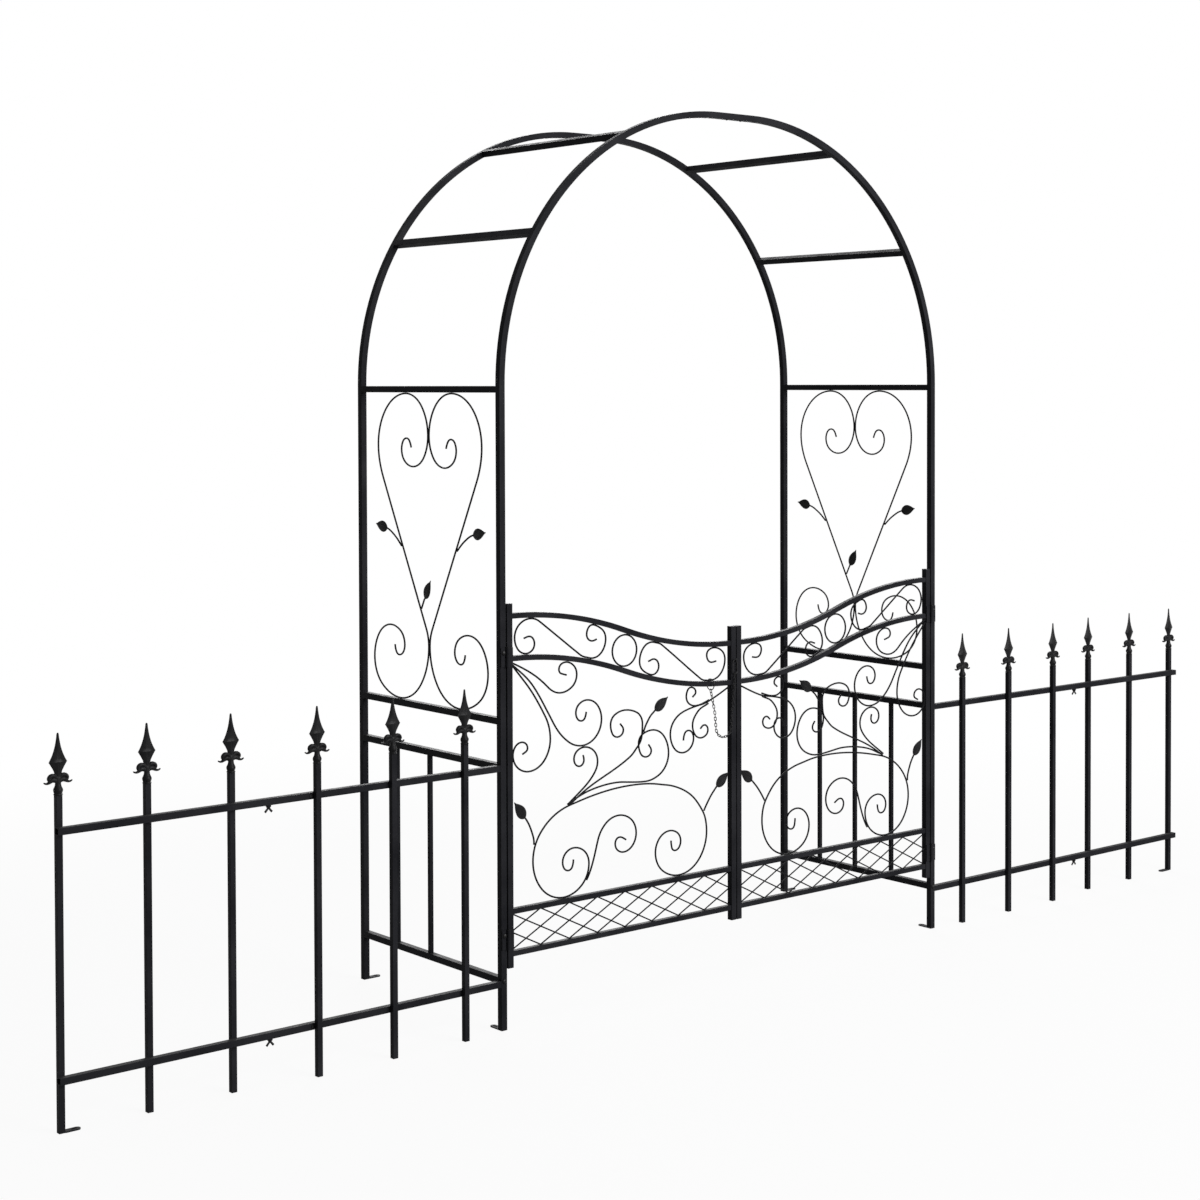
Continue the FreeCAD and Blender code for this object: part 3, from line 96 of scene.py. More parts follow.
class NodeBoard:
    """The nodes of a material or of the surround, with short calls to add and join them."""

    EDGE_SPAN: Span = (0.78, 0.99)
    ROUNDING_SAMPLES = 6

    def __init__(self, owner: Finish | bpy.types.World, output: str = "OutputMaterial") -> None:
        """Clears the owner's nodes and adds its output.

        Args:
            owner: the material or surround.
            output: the output's kind of node.
        """
        owner.use_nodes = True
        owner.node_tree.nodes.clear()
        self.owner = owner
        self.tree = owner.node_tree
        self.output = self.add(output)
        self.place = self.add("TexCoord").outputs

    def feed(self, target: Socket, value: Value) -> None:
        """Joins an input to another node's output, or sets it to a plain value.

        Args:
            target: the input.
            value: the output, colour or number that goes into it.
        """
        if isinstance(value, Socket):
            self.tree.links.new(value, target)
        else:
            target.default_value = (*value, 1.0) if target.type == "RGBA" else value

    def add(self, kind: str, inputs: dict[str | int, Value] | None = None) -> bpy.types.Node:
        """Adds a node.

        Args:
            kind: the node's kind, without the words that every kind starts with.
            inputs: what goes into its inputs, by their names or numbers.

        Returns:
            The node.
        """
        node = self.tree.nodes.new(f"ShaderNode{kind}")
        for key, value in (inputs or {}).items():
            self.feed(node.inputs[key], value)
        return node

    def noise(self, scale: float, detail: float = 2.0, rough: float = 0.5) -> Socket:
        """Noise on the piece's own coordinates.

        Args:
            scale: grains per metre.
            detail: octaves.
            rough: share of the finer octaves.

        Returns:
            The noise's value.
        """
        return self.add("TexNoise", {"Vector": self.place["Object"], "Scale": scale, "Detail": detail,
                                     "Roughness": rough}).outputs["Fac"]

    def spread(self, value: Socket, low: float, high: float, start: float = 0.3,
               end: float = 0.7) -> Socket:
        """Maps a value from one range to another.

        Args:
            value: the value, from start to end.
            low: the result at start.
            high: the result at end.
            start: the lower end of the value.
            end: the upper end of the value.

        Returns:
            The mapped value.
        """
        return self.add("MapRange", {"Value": value, "From Min": start, "From Max": end,
                                     "To Min": low, "To Max": high}).outputs["Result"]

    def sum_up(self, kind: str, first: Socket, second: Socket | float = 0.0) -> Socket:
        """Does a sum.

        Args:
            kind: the operation.
            first: the first value.
            second: the second value, where the operation takes two.

        Returns:
            The result.
        """
        node = self.add("Math", {0: first, 1: second})
        node.operation = kind
        return node.outputs["Value"]

    def measure(self, kind: str, *vectors: Socket) -> Socket:
        """Makes one number of vectors.

        Args:
            kind: the operation.
            vectors: what it acts on.

        Returns:
            The number.
        """
        node = self.add("VectorMath", dict(enumerate(vectors)))
        node.operation = kind
        return node.outputs["Value"]

    def blend(self, share: Socket, low: Socket | Colour, high: Socket | Colour) -> Socket:
        """Mixes two colours.

        Args:
            share: how much of the second colour.
            low: the first colour.
            high: the second colour.

        Returns:
            The mixed colour.
        """
        node = self.add("Mix", {"Factor": share})
        node.data_type = "RGBA"
        sockets = [socket for socket in node.inputs if socket.type == "RGBA"]
        for socket, colour in zip(sockets, (low, high)):
            self.feed(socket, colour)
        return next(socket for socket in node.outputs if socket.type == "RGBA")

    def relief(self, height: Socket, depth: float, strength: float,
               under: Socket | None = None) -> Socket:
        """A bump.

        Args:
            height: the relief's height.
            depth: metres between its lowest and highest point.
            strength: how much of it shows.
            under: a normal that the bump lies on.

        Returns:
            The bumped normal.
        """
        node = self.add("Bump", {"Height": height, "Distance": depth, "Strength": strength})
        if under is not None:
            self.feed(node.inputs["Normal"], under)
        return node.outputs["Normal"]

    def rounded(self, radius: float) -> Socket:
        """Normals that run round the edges, as on a rolled tube.

        Args:
            radius: the radius of the rounding in metres.

        Returns:
            The rounded normals.
        """
        node = self.add("Bevel", {"Radius": radius})
        node.samples = self.ROUNDING_SAMPLES
        return node.outputs["Normal"]

    def facing_up(self) -> Socket:
        """How far the surface faces up, from -1 to 1."""
        normal = self.add("NewGeometry").outputs["Normal"]
        return self.add("SeparateXYZ", {"Vector": normal}).outputs["Z"]

    def edges(self, radius: float) -> Socket:
        """One along the edges and nought on the flats, as far from an edge as the radius reaches."""
        flat = self.add("NewGeometry").outputs["True Normal"]
        return self.spread(self.measure("DOT_PRODUCT", flat, self.rounded(radius)), 1.0, 0.0, *self.EDGE_SPAN)

    def seen_rays(self) -> Socket:
        """One for the rays that see a surface: straight, in a reflection or through a clear piece.

        Returns:
            The mask.
        """
        rays = self.add("LightPath").outputs
        seen = self.sum_up("MAXIMUM", rays["Is Camera Ray"], rays["Is Glossy Ray"])
        return self.sum_up("MAXIMUM", seen, rays["Is Transmission Ray"])

    def finish(self, kind: str, inputs: dict[str | int, Value]) -> Finish | bpy.types.World:
        """Adds the shader, joins it to the output and hands the owner out.

        Args:
            kind: the shader's kind of node.
            inputs: what goes into it.

        Returns:
            The material or surround.
        """
        self.feed(self.output.inputs["Surface"], self.add(kind, inputs).outputs[0])
        return self.owner

    def finish_coat(self, colour: Socket, gloss: Socket, normal: Socket, key: str, number: float) -> Finish:
        """Ends a coat.

        Args:
            colour: the base colour.
            gloss: the roughness.
            normal: the bumped normal.
            key: the one other input of the shader that is set.
            number: what it is set to.

        Returns:
            The material.
        """
        return self.finish("BsdfPrincipled", {"Base Color": colour, "Roughness": gloss, "Normal": normal,
                                              key: number})


@dataclass(frozen=True)
class PowderCoat:
    """Satin black powder coat: orange peel, uneven gloss, dust on top faces, specks, and edges lighter partly
    as rubbed wear and partly as a painted highlight.
    """

    name: str
    deep: Colour = (0.0058, 0.0059, 0.0072)
    pale: Colour = (0.0128, 0.0129, 0.0148)
    dust: Colour = (0.034, 0.0335, 0.033)
    # Colour of the lighter edges: partly rubbed wear, partly a painted edge highlight
    rub_and_edge_highlight: Colour = (0.030, 0.030, 0.032)
    cloud_grain: float = 9.0
    dust_grain: float = 45.0
    dust_least: float = 0.15
    dust_share: float = 0.55
    dust_slope: Span = (0.5, 1.0)
    rub_and_highlight_grain: float = 70.0
    rub_and_highlight_share: float = 0.6
    rub_and_highlight_span: Span = (0.42, 0.72)
    speck_grain: float = 620.0
    speck_share: float = 0.35
    speck_span: Span = (0.62, 0.74)
    gloss_grain: float = 28.0
    gloss: Span = (0.42, 0.58)
    peel_grain: float = 520.0
    peel_depth: float = 0.00006
    peel_strength: float = 0.6
    edge_radius: float = 0.0014
    level: float = 0.02

    def make(self) -> Finish:
        """Builds the material.

        Returns:
            The material.
        """
        board = NodeBoard(bpy.data.materials.new(self.name))
        clouds = board.spread(board.noise(self.cloud_grain, detail=3.0), 0.0, 1.0)
        colour = board.blend(clouds, self.deep, self.pale)
        upward = board.spread(board.facing_up(), 0.0, self.dust_share, *self.dust_slope)
        drifts = board.spread(board.noise(self.dust_grain, detail=4.0), self.dust_least, 1.0)
        colour = board.blend(board.sum_up("MULTIPLY", upward, drifts), colour, self.dust)
        # Lighter edges: partly rubbed wear, partly a painted highlight along the edges
        patches = board.noise(self.rub_and_highlight_grain, detail=3.0)
        patches = board.spread(patches, 0.0, self.rub_and_highlight_share, *self.rub_and_highlight_span)
        rubbed_and_highlit = board.sum_up("MULTIPLY", board.edges(self.edge_radius), patches)
        colour = board.blend(rubbed_and_highlit, colour, self.rub_and_edge_highlight)
        specks = board.spread(board.noise(self.speck_grain), 0.0, self.speck_share, *self.speck_span)
        colour = board.blend(specks, colour, self.dust)
        gloss = board.spread(board.noise(self.gloss_grain, detail=4.0, rough=0.6), *self.gloss)
        peel = board.relief(board.noise(self.peel_grain), self.peel_depth, self.peel_strength,
                            board.rounded(self.edge_radius))
        return board.finish_coat(colour, gloss, peel, "Specular IOR Level", self.level)


@dataclass(frozen=True)
class SandCoat:
    """Black coat on sand castings: lumpy, grained skin, edges lighter partly as rubbed wear and partly as a
    painted highlight.
    """

    name: str
    deep: Colour = (0.0046, 0.0046, 0.0050)
    pale: Colour = (0.0098, 0.0098, 0.0104)
    # Colour of the lighter edges: partly rubbed wear, partly a painted edge highlight
    rub_and_edge_highlight: Colour = (0.052, 0.051, 0.051)
    cloud_grain: float = 55.0
    rub_and_highlight_grain: float = 190.0
    rub_and_highlight_share: float = 0.7
    rub_and_highlight_span: Span = (0.40, 0.70)
    rub_and_highlight_radius: float = 0.0009
    gloss_grain: float = 120.0
    gloss: Span = (0.26, 0.46)
    grain: float = 900.0
    grain_depth: float = 0.00025
    grain_strength: float = 0.5
    lumps: float = 170.0
    lump_depth: float = 0.0006
    lump_strength: float = 0.35
    edge_radius: float = 0.0005
    level: float = 0.05

    def make(self) -> Finish:
        """Builds the material.

        Returns:
            The material.
        """
        board = NodeBoard(bpy.data.materials.new(self.name))
        gloss = board.spread(board.noise(self.gloss_grain, detail=4.0, rough=0.6), *self.gloss)
        skin = self.skin(board)
        return board.finish_coat(self.colour(board), gloss, skin, "Specular IOR Level", self.level)

    def colour(self, board: NodeBoard) -> Socket:
        """The coat's colour, with edges lighter partly as rubbed wear and partly as a painted highlight.

        Args:
            board: the material's nodes.

        Returns:
            The colour.
        """
        clouds = board.spread(board.noise(self.cloud_grain, detail=4.0), 0.0, 1.0)
        # Lighter edges: partly rubbed wear, partly a painted highlight along the edges
        patches = board.noise(self.rub_and_highlight_grain, detail=3.0)
        patches = board.spread(patches, 0.0, self.rub_and_highlight_share, *self.rub_and_highlight_span)
        rubbed_and_highlit = board.sum_up("MULTIPLY", board.edges(self.rub_and_highlight_radius), patches)
        return board.blend(rubbed_and_highlit, board.blend(clouds, self.deep, self.pale), self.rub_and_edge_highlight)

    def skin(self, board: NodeBoard) -> Socket:
        """The casting's skin: fine grain over soft lumps.

        Args:
            board: the material's nodes.

        Returns:
            The bumped normal.
        """
        lumps = board.relief(board.noise(self.lumps, detail=3.0), self.lump_depth, self.lump_strength,
                             board.rounded(self.edge_radius))
        grain = board.noise(self.grain, detail=3.0, rough=0.65)
        return board.relief(grain, self.grain_depth, self.grain_strength, lumps)


@dataclass(frozen=True)
class VeinedCoat(SandCoat):
    """The coat on the forged leaves: slanted veins from the middle to both edges."""

    grain_depth: float = 0.00018
    grain_strength: float = 0.35
    veins: float = 58.0
    slant: float = 1.15
    middle: float = 0.5
    midrib: Span = (0.02, 0.10)
    vein_depth: float = 0.0007
    vein_strength: float = 0.55

    def skin(self, board: NodeBoard) -> Socket:
        """Veins that follow the leaf's own map, under the grain of the coat.

        Args:
            board: the material's nodes.

        Returns:
            The bumped normal.
        """
        chart = board.add("SeparateXYZ", {"Vector": board.place["UV"]}).outputs
        aside = board.sum_up("ABSOLUTE", board.sum_up("SUBTRACT", chart["Y"], self.middle))
        lean = board.sum_up("SUBTRACT", chart["X"], board.sum_up("MULTIPLY", aside, self.slant))
        wave = board.sum_up("SINE", board.sum_up("MULTIPLY", lean, self.veins))
        fade = board.spread(aside, 0.0, 1.0, *self.midrib)
        ribs = board.relief(board.sum_up("MULTIPLY", wave, fade), self.vein_depth, self.vein_strength)
        return board.relief(board.noise(self.grain), self.grain_depth, self.grain_strength, ribs)


@dataclass(frozen=True)
class BlackenedSteel:
    """Dark bolts, pins and chain: bare steel blackened in a bath, worn brighter in places."""

    name: str
    dark: Colour = (0.006, 0.006, 0.0066)
    worn: Colour = (0.036, 0.035, 0.034)
    wear_grain: float = 260.0
    wear_share: float = 0.55
    wear_span: Span = (0.45, 0.75)
    edge_wear: float = 0.5
    wear_radius: float = 0.0006
    gloss_grain: float = 400.0
    gloss: Span = (0.30, 0.50)
    metal: float = 0.85
    grain: float = 1400.0
    grain_depth: float = 0.00008
    grain_strength: float = 0.3
    edge_radius: float = 0.0004

    def make(self) -> Finish:
        """Builds the material.

        Returns:
            The material.
        """
        board = NodeBoard(bpy.data.materials.new(self.name))
        patches = board.noise(self.wear_grain, detail=4.0, rough=0.6)
        patches = board.spread(patches, 0.0, self.wear_share, *self.wear_span)
        edges = board.sum_up("MULTIPLY", board.edges(self.wear_radius), self.edge_wear)
        colour = board.blend(board.sum_up("MAXIMUM", patches, edges), self.dark, self.worn)
        gloss = board.spread(board.noise(self.gloss_grain, detail=3.0), *self.gloss)
        skin = board.relief(board.noise(self.grain), self.grain_depth, self.grain_strength,
                            board.rounded(self.edge_radius))
        return board.finish_coat(colour, gloss, skin, "Metallic", self.metal)


@dataclass
class PaintShop:
    """Every finish, made once and handed out by slot."""

    finishes: dict[Coat, Finish] = field(default_factory=dict)
    veined: Finish | None = None

    def mix(self) -> None:
        """Makes all the materials."""
        self.finishes = {
            Coat.FRAME: PowderCoat("frame_powder_coat").make(),
            Coat.WIRE: PowderCoat("wire_powder_coat", deep=(0.0035, 0.0035, 0.0042),
                                  pale=(0.007, 0.007, 0.008), peel_grain=900.0, peel_depth=0.00003,
                                  edge_radius=0.0004, gloss=(0.36, 0.52)).make(),
            Coat.CAST: SandCoat("finial_cast_coat").make(),
            Coat.HARDWARE: BlackenedSteel("blackened_hardware").make(),
        }
        self.veined = VeinedCoat("veined_leaf_coat").make()

    @staticmethod
    def dress(piece: Piece, material: Finish) -> None:
        """Gives a piece one material all over."""
        piece.data.materials.clear()
        piece.data.materials.append(material)

    def dress_nodes(self) -> None:
        """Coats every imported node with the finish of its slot."""
        for entry in frame["record"]["subparts"]:
            self.dress(frame["nodes"][entry["node"]], self.finishes[Coat(entry["material_slot"])])


# Bench work


def lay_aside() -> None:
    """Leaves edit mode, with nothing selected."""
    active = bpy.context.view_layer.objects.active
    if active is not None and active.mode != "OBJECT":
        bpy.ops.object.mode_set(mode="OBJECT")
    bpy.ops.object.select_all(action="DESELECT")


def take_up(piece: Piece) -> None:
    """Selects one piece alone and makes it active.

    Args:
        piece: the piece.
    """
    lay_aside()
    piece.select_set(True)
    bpy.context.view_layer.objects.active = piece


def open_up(piece: Piece) -> None:
    """Takes up a piece and enters edit mode with nothing picked.

    Args:
        piece: the piece.
    """
    take_up(piece)
    bpy.ops.object.mode_set(mode="EDIT")
    bpy.ops.mesh.select_mode(type="VERT")
    bpy.ops.mesh.select_all(action="DESELECT")


def pick(piece: Piece, wanted: Callable[[Vector], bool]) -> None:
    """Picks, in edit mode, the points whose place is wanted.

    Args:
        piece: the piece in edit mode.
        wanted: tells from a point's place in millimetres if it is picked.
    """
    mesh = bmesh.from_edit_mesh(piece.data)
    mesh.select_mode = {"VERT"}
    for point in mesh.verts:
        point.select = wanted(point.co / MM)
    mesh.select_flush_mode()
    bmesh.update_edit_mesh(piece.data)


def settle(piece: Piece) -> None:
    """Writes a piece's place, turn and scale into its mesh."""
    take_up(piece)
    bpy.ops.object.transform_apply(location=True, rotation=True, scale=True)


def round_blank(sides: int, radius: float, bottom: float, top: float) -> Piece:
    """A round blank that stands on the middle line, opened up for shaping.

    Args:
        sides: how many flats it has.
        radius: its radius in millimetres.
        bottom: the height of its lower end.
        top: the height of its upper end.

    Returns:
        The blank, in edit mode with nothing picked.
    """
    lay_aside()
    bpy.ops.mesh.primitive_cylinder_add(vertices=sides, radius=radius * MM, depth=(top - bottom) * MM,
                                        location=(0.0, 0.0, (bottom + top) * MM / 2))
    blank = bpy.context.object
    settle(blank)
    open_up(blank)
    return blank


def swell(across: float, deep: float, up: float = 1.0, centre: Sequence[float] = ORIGIN) -> None:
    """Widens or narrows what is picked.

    Args:
        across: the factor along X.
        deep: the factor along Y.
        up: the factor along Z.
        centre: the place in metres that it grows or shrinks about.
    """
    bpy.ops.transform.resize(value=(across, deep, up), center_override=centre)


def lift(rise: float) -> None:
    """Moves what is picked up by so many millimetres."""
    bpy.ops.transform.translate(value=(0.0, 0.0, rise * MM))


def pull(run: Sequence[float]) -> None:
    """Extrudes what is picked by a run in metres."""
    bpy.ops.mesh.extrude_region_move(TRANSFORM_OT_translate={"value": run})


def draw_shank(shrink: float, rise: float) -> None:
    """Draws a shank out of the picked face: a step inwards, then straight out.

    Args:
        shrink: the shank's width as a share of the face's.
        rise: how far up it goes in millimetres, below nought for down.
    """
    pull(ORIGIN)
    swell(shrink, shrink)
    pull((0.0, 0.0, rise * MM))


def finish_mesh(piece: Piece, angle: float = 35.0) -> None:
    """Merges doubles, turns the faces outwards and smooths all but the sharp edges.

    Args:
        piece: the piece.
        angle: edges over this many degrees stay sharp.
    """
    open_up(piece)
    bpy.ops.mesh.select_all(action="SELECT")
    bpy.ops.mesh.remove_doubles(threshold=SAME_PLACE)
    bpy.ops.mesh.normals_make_consistent(inside=False)
    take_up(piece)
    bpy.ops.object.shade_smooth_by_angle(angle=math.radians(angle))


def apply_all(piece: Piece) -> None:
    """Applies every modifier of a piece, in order.

    Args:
        piece: the piece.
    """
    take_up(piece)
    for modifier in list(piece.modifiers):
        bpy.ops.object.modifier_apply(modifier=modifier.name)


def soften(piece: Piece, width: float, segments: int = 2, angle: float = 30.0) -> None:
    """Rounds the sharp edges of a piece.

    Args:
        piece: the piece.
        width: the bevel's width in millimetres.
        segments: steps across it.
        angle: edges over this many degrees are rounded.
    """
    modifier = piece.modifiers.new("soften", "BEVEL")
    modifier.width = width * MM
    modifier.segments = segments
    modifier.limit_method = "ANGLE"
    modifier.angle_limit = math.radians(angle)
    apply_all(piece)


def subdivide(piece: Piece, levels: int = 1) -> None:
    """Rounds a piece off by subdivision.

    Args:
        piece: the piece.
        levels: how many times its faces are split.
    """
    modifier = piece.modifiers.new("round_off", "SUBSURF")
    modifier.levels = levels
    modifier.render_levels = levels
    apply_all(piece)


def copy_to(pattern: Piece, where: Matrix) -> Piece:
    """A copy of a pattern with its own mesh, put in place.

    Args:
        pattern: the finished piece at the origin.
        where: its place and turn in the model, in metres.

    Returns:
        The copy.
    """
    copy = pattern.copy()
    copy.data = pattern.data.copy()
    bpy.context.scene.collection.objects.link(copy)
    copy.matrix_world = where
    settle(copy)
    return copy


def weld_up(name: str, pieces: Sequence[Piece]) -> Piece:
    """Joins pieces into one object.

    Args:
        name: the object's name.
        pieces: what is joined.

    Returns:
        The joined object.
    """
    lay_aside()
    for piece in pieces:
        piece.select_set(True)
    bpy.context.view_layer.objects.active = pieces[0]
    if len(pieces) > 1:
        bpy.ops.object.join()
    whole = bpy.context.view_layer.objects.active
    whole.name = name
    whole.data.name = name
    return whole


def put_away(pattern: Piece) -> None:
    """Removes a pattern once its copies are made.

    Args:
        pattern: the pattern.
    """
    mesh = pattern.data
    bpy.data.objects.remove(pattern)
    bpy.data.meshes.remove(mesh)


def hand_over(piece: Piece, body: str, coat: Coat, *nodes: str) -> None:
    """Lets a finished piece ride on its body in place of its plain nodes.

    Args:
        piece: the finished piece.
        body: the body that it moves with.
        coat: a slot for the piece's finish; not used.
        nodes: the nodes that it stands for.
    """
    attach(piece, body)
    if nodes:
        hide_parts(*nodes)
    LOG.info("%s: %d faces, on %s", piece.name, len(piece.data.polygons), body)


def turned(along: Vector, front: Vector, place: Vector) -> Matrix:
    """A place and turn, from where a piece's length and front point.

    Args:
        along: where the piece's +X points.
        front: where its +Z points.
        place: where its origin goes, in millimetres.

    Returns:
        The matrix in metres.
    """
    across = front.cross(along)
    matrix = Matrix((along, across, front)).transposed().to_4x4()
    matrix.translation = place * MM
    return matrix


@dataclass(frozen=True)
class Ring:
    """One section of a piece that is drawn upwards, in millimetres."""

    height: float
    width: float
    depth: float


def draw_up(rings: Sequence[Ring]) -> None:
    """Extrudes the picked end of the open piece upwards, ring by ring.

    Args:
        rings: the sections, from the picked end upwards.
    """
    for last, following in zip(rings, rings[1:]):
        pull((0.0, 0.0, (following.height - last.height) * MM))
        swell(following.width / last.width, following.depth / last.depth)


# Ornament


@dataclass(frozen=True)
class LeafSpot:
    """Where a leaf grows from: its base on the drawing, its bearing in degrees."""

    across: float
    up: float
    bearing: float


@dataclass
class ForgedLeaves:
    """The forged leaves at the ends of the scrolls' stems, domed and drawn to a drip tip."""

    length: float = 54.0
    width: float = 29.0
    sheet: float = 1.3
    dome: float = 1.9
    groove: float = 0.9
    droop: float = 1.2
    body_end: float = 0.93
    body_lean: float = 0.78
    body_fullness: float = 0.8
    tip_run: float = 0.1
    tip_least: float = 0.05
    tip_taper: float = 0.75
    least: float = 0.04
    flat_share: float = 0.35
    crease: float = 50.0
    rows: int = 16
    columns: int = 8
    front_layer: float = 4.65
    stile_face: float = 722.0
    side_middle: float = 7.0
    gate_back: tuple[LeafSpot, ...] = (LeafSpot(42.5, 498.3, 128.0), LeafSpot(659.0, 500.3, 38.0))
    gate_front: tuple[LeafSpot, ...] = (LeafSpot(447.0, 719.1, 35.0),)
    side_outer: LeafSpot = LeafSpot(186.0, 1177.0, 10.0)
    side_inner: LeafSpot = LeafSpot(20.0, 1008.6, 119.0)

    def spread_at(self, share: float) -> float:
        """Half the leaf's width at a share of its length, as a share of the widest.

        Args:
            share: from nought at the base to one at the tip.

        Returns:
            The share of the widest.
        """
        body = math.sin(math.pi * min(1.0, share / self.body_end) ** self.body_lean)
        at_tip = share >= self.body_end - self.tip_run
        tip = self.tip_least + self.tip_taper * (1.0 - share) if at_tip else 0.0
        return max(self.least, max(0.0, body) ** self.body_fullness, tip)

    def model(self) -> Piece:
        """One leaf with its base at the origin, along +X, its face to +Z.

        Returns:
            The leaf.
        """
        lay_aside()
        bpy.ops.mesh.primitive_grid_add(x_subdivisions=self.rows, y_subdivisions=self.columns, size=1.0,
                                        location=(self.length * MM / 2, 0.0, 0.0))
        leaf = bpy.context.object
        leaf.scale = (self.length * MM, self.width * MM, 1.0)
        settle(leaf)
        open_up(leaf)
        step = self.width / self.columns
        for column in range(-self.columns // 2, self.columns // 2 + 1):
            share = abs(column) / (self.columns / 2)
            rise = self.dome * (1.0 - share ** 2) - (self.groove if column == 0 else 0.0)
            pick(leaf, lambda co, y=column * step: abs(co.y - y) < step / 4)
            lift(rise)
        gap = self.length / self.rows
        for row in range(self.rows + 1):
            share = row / self.rows
            spread = self.spread_at(share)
            pick(leaf, lambda co, x=row * gap: abs(co.x - x) < gap / 4)
            swell(1.0, spread, self.flat_share + (1.0 - self.flat_share) * spread)
            lift(-self.droop * (2.0 * share - 1.0) ** 2)
        take_up(leaf)
        wall = leaf.modifiers.new("sheet", "SOLIDIFY")
        wall.thickness = self.sheet * MM
        wall.offset = 0.0
        apply_all(leaf)
        subdivide(leaf)
        finish_mesh(leaf, self.crease)
        return leaf

    def gate_place(self, side: Side, spot: LeafSpot, layer: float) -> Matrix:
        """Where a leaf of the gate goes.

        Args:
            side: the gate leaf's side.
            spot: the place on the gate's drawing.
            layer: how far in front of the gate's line.

        Returns:
            The place and turn.
        """
        turn = math.radians(spot.bearing)
        along = Vector((-side.value * math.cos(turn), 0.0, math.sin(turn)))
        place = Vector((side.value * (self.stile_face - spot.across), FRONT_LINE - layer, spot.up))
        return turned(along, TO_FRONT, place)

    def side_place(self, side: Side, spot: LeafSpot, half: int) -> Matrix:
        """Where a leaf of the arch's side goes.

        Args:
            side: the side of the arch.
            spot: the place on the side's drawing.
            half: 1 on the rear half and -1 on the front half.

        Returns:
            The place and turn.
        """
        turn = math.radians(spot.bearing)
        along = Vector((0.0, half * math.cos(turn), math.sin(turn)))
        place = Vector((side.value * POST_LINE, self.side_middle + half * spot.across, spot.up))
        return turned(along, Vector((float(side.value), 0.0, 0.0)), place)

    def build(self, shop: PaintShop) -> None:
        """Makes the leaves of the gate and of the sides.

        Args:
            shop: where the finish comes from.
        """
        pattern = self.model()
        shop.dress(pattern, shop.veined)
        spots = [(spot, 0.0) for spot in self.gate_back]
        spots += [(spot, self.front_layer) for spot in self.gate_front]
        for side in Side:
            leaves = [copy_to(pattern, self.gate_place(side, spot, layer)) for spot, layer in spots]
            whole = weld_up(f"{side.label}_gate_forged_leaves", leaves)
            hand_over(whole, f"{side.label}_leaf", Coat.CAST, f"{side.label}_gate_leaves")
        leaves = []
        for side in Side:
            leaves += [copy_to(pattern, self.side_place(side, self.side_outer, half)) for half in (1, -1)]
            leaves.append(copy_to(pattern, self.side_place(side, self.side_inner, 1)))
        hand_over(weld_up("side_forged_leaves", leaves), "arch", Coat.CAST, "side_leaves")
        put_away(pattern)


@dataclass(frozen=True)
class PetalStep:
    """A station of a finial's curled petal: its place beside the stem and its section, in millimetres."""

    across: float
    up: float
    width: float
    depth: float


@dataclass(frozen=True)
class Flute:
    """Points at a share of the blade's half width, and the factors that draw them in."""

    share: float
    across: float
    deep: float


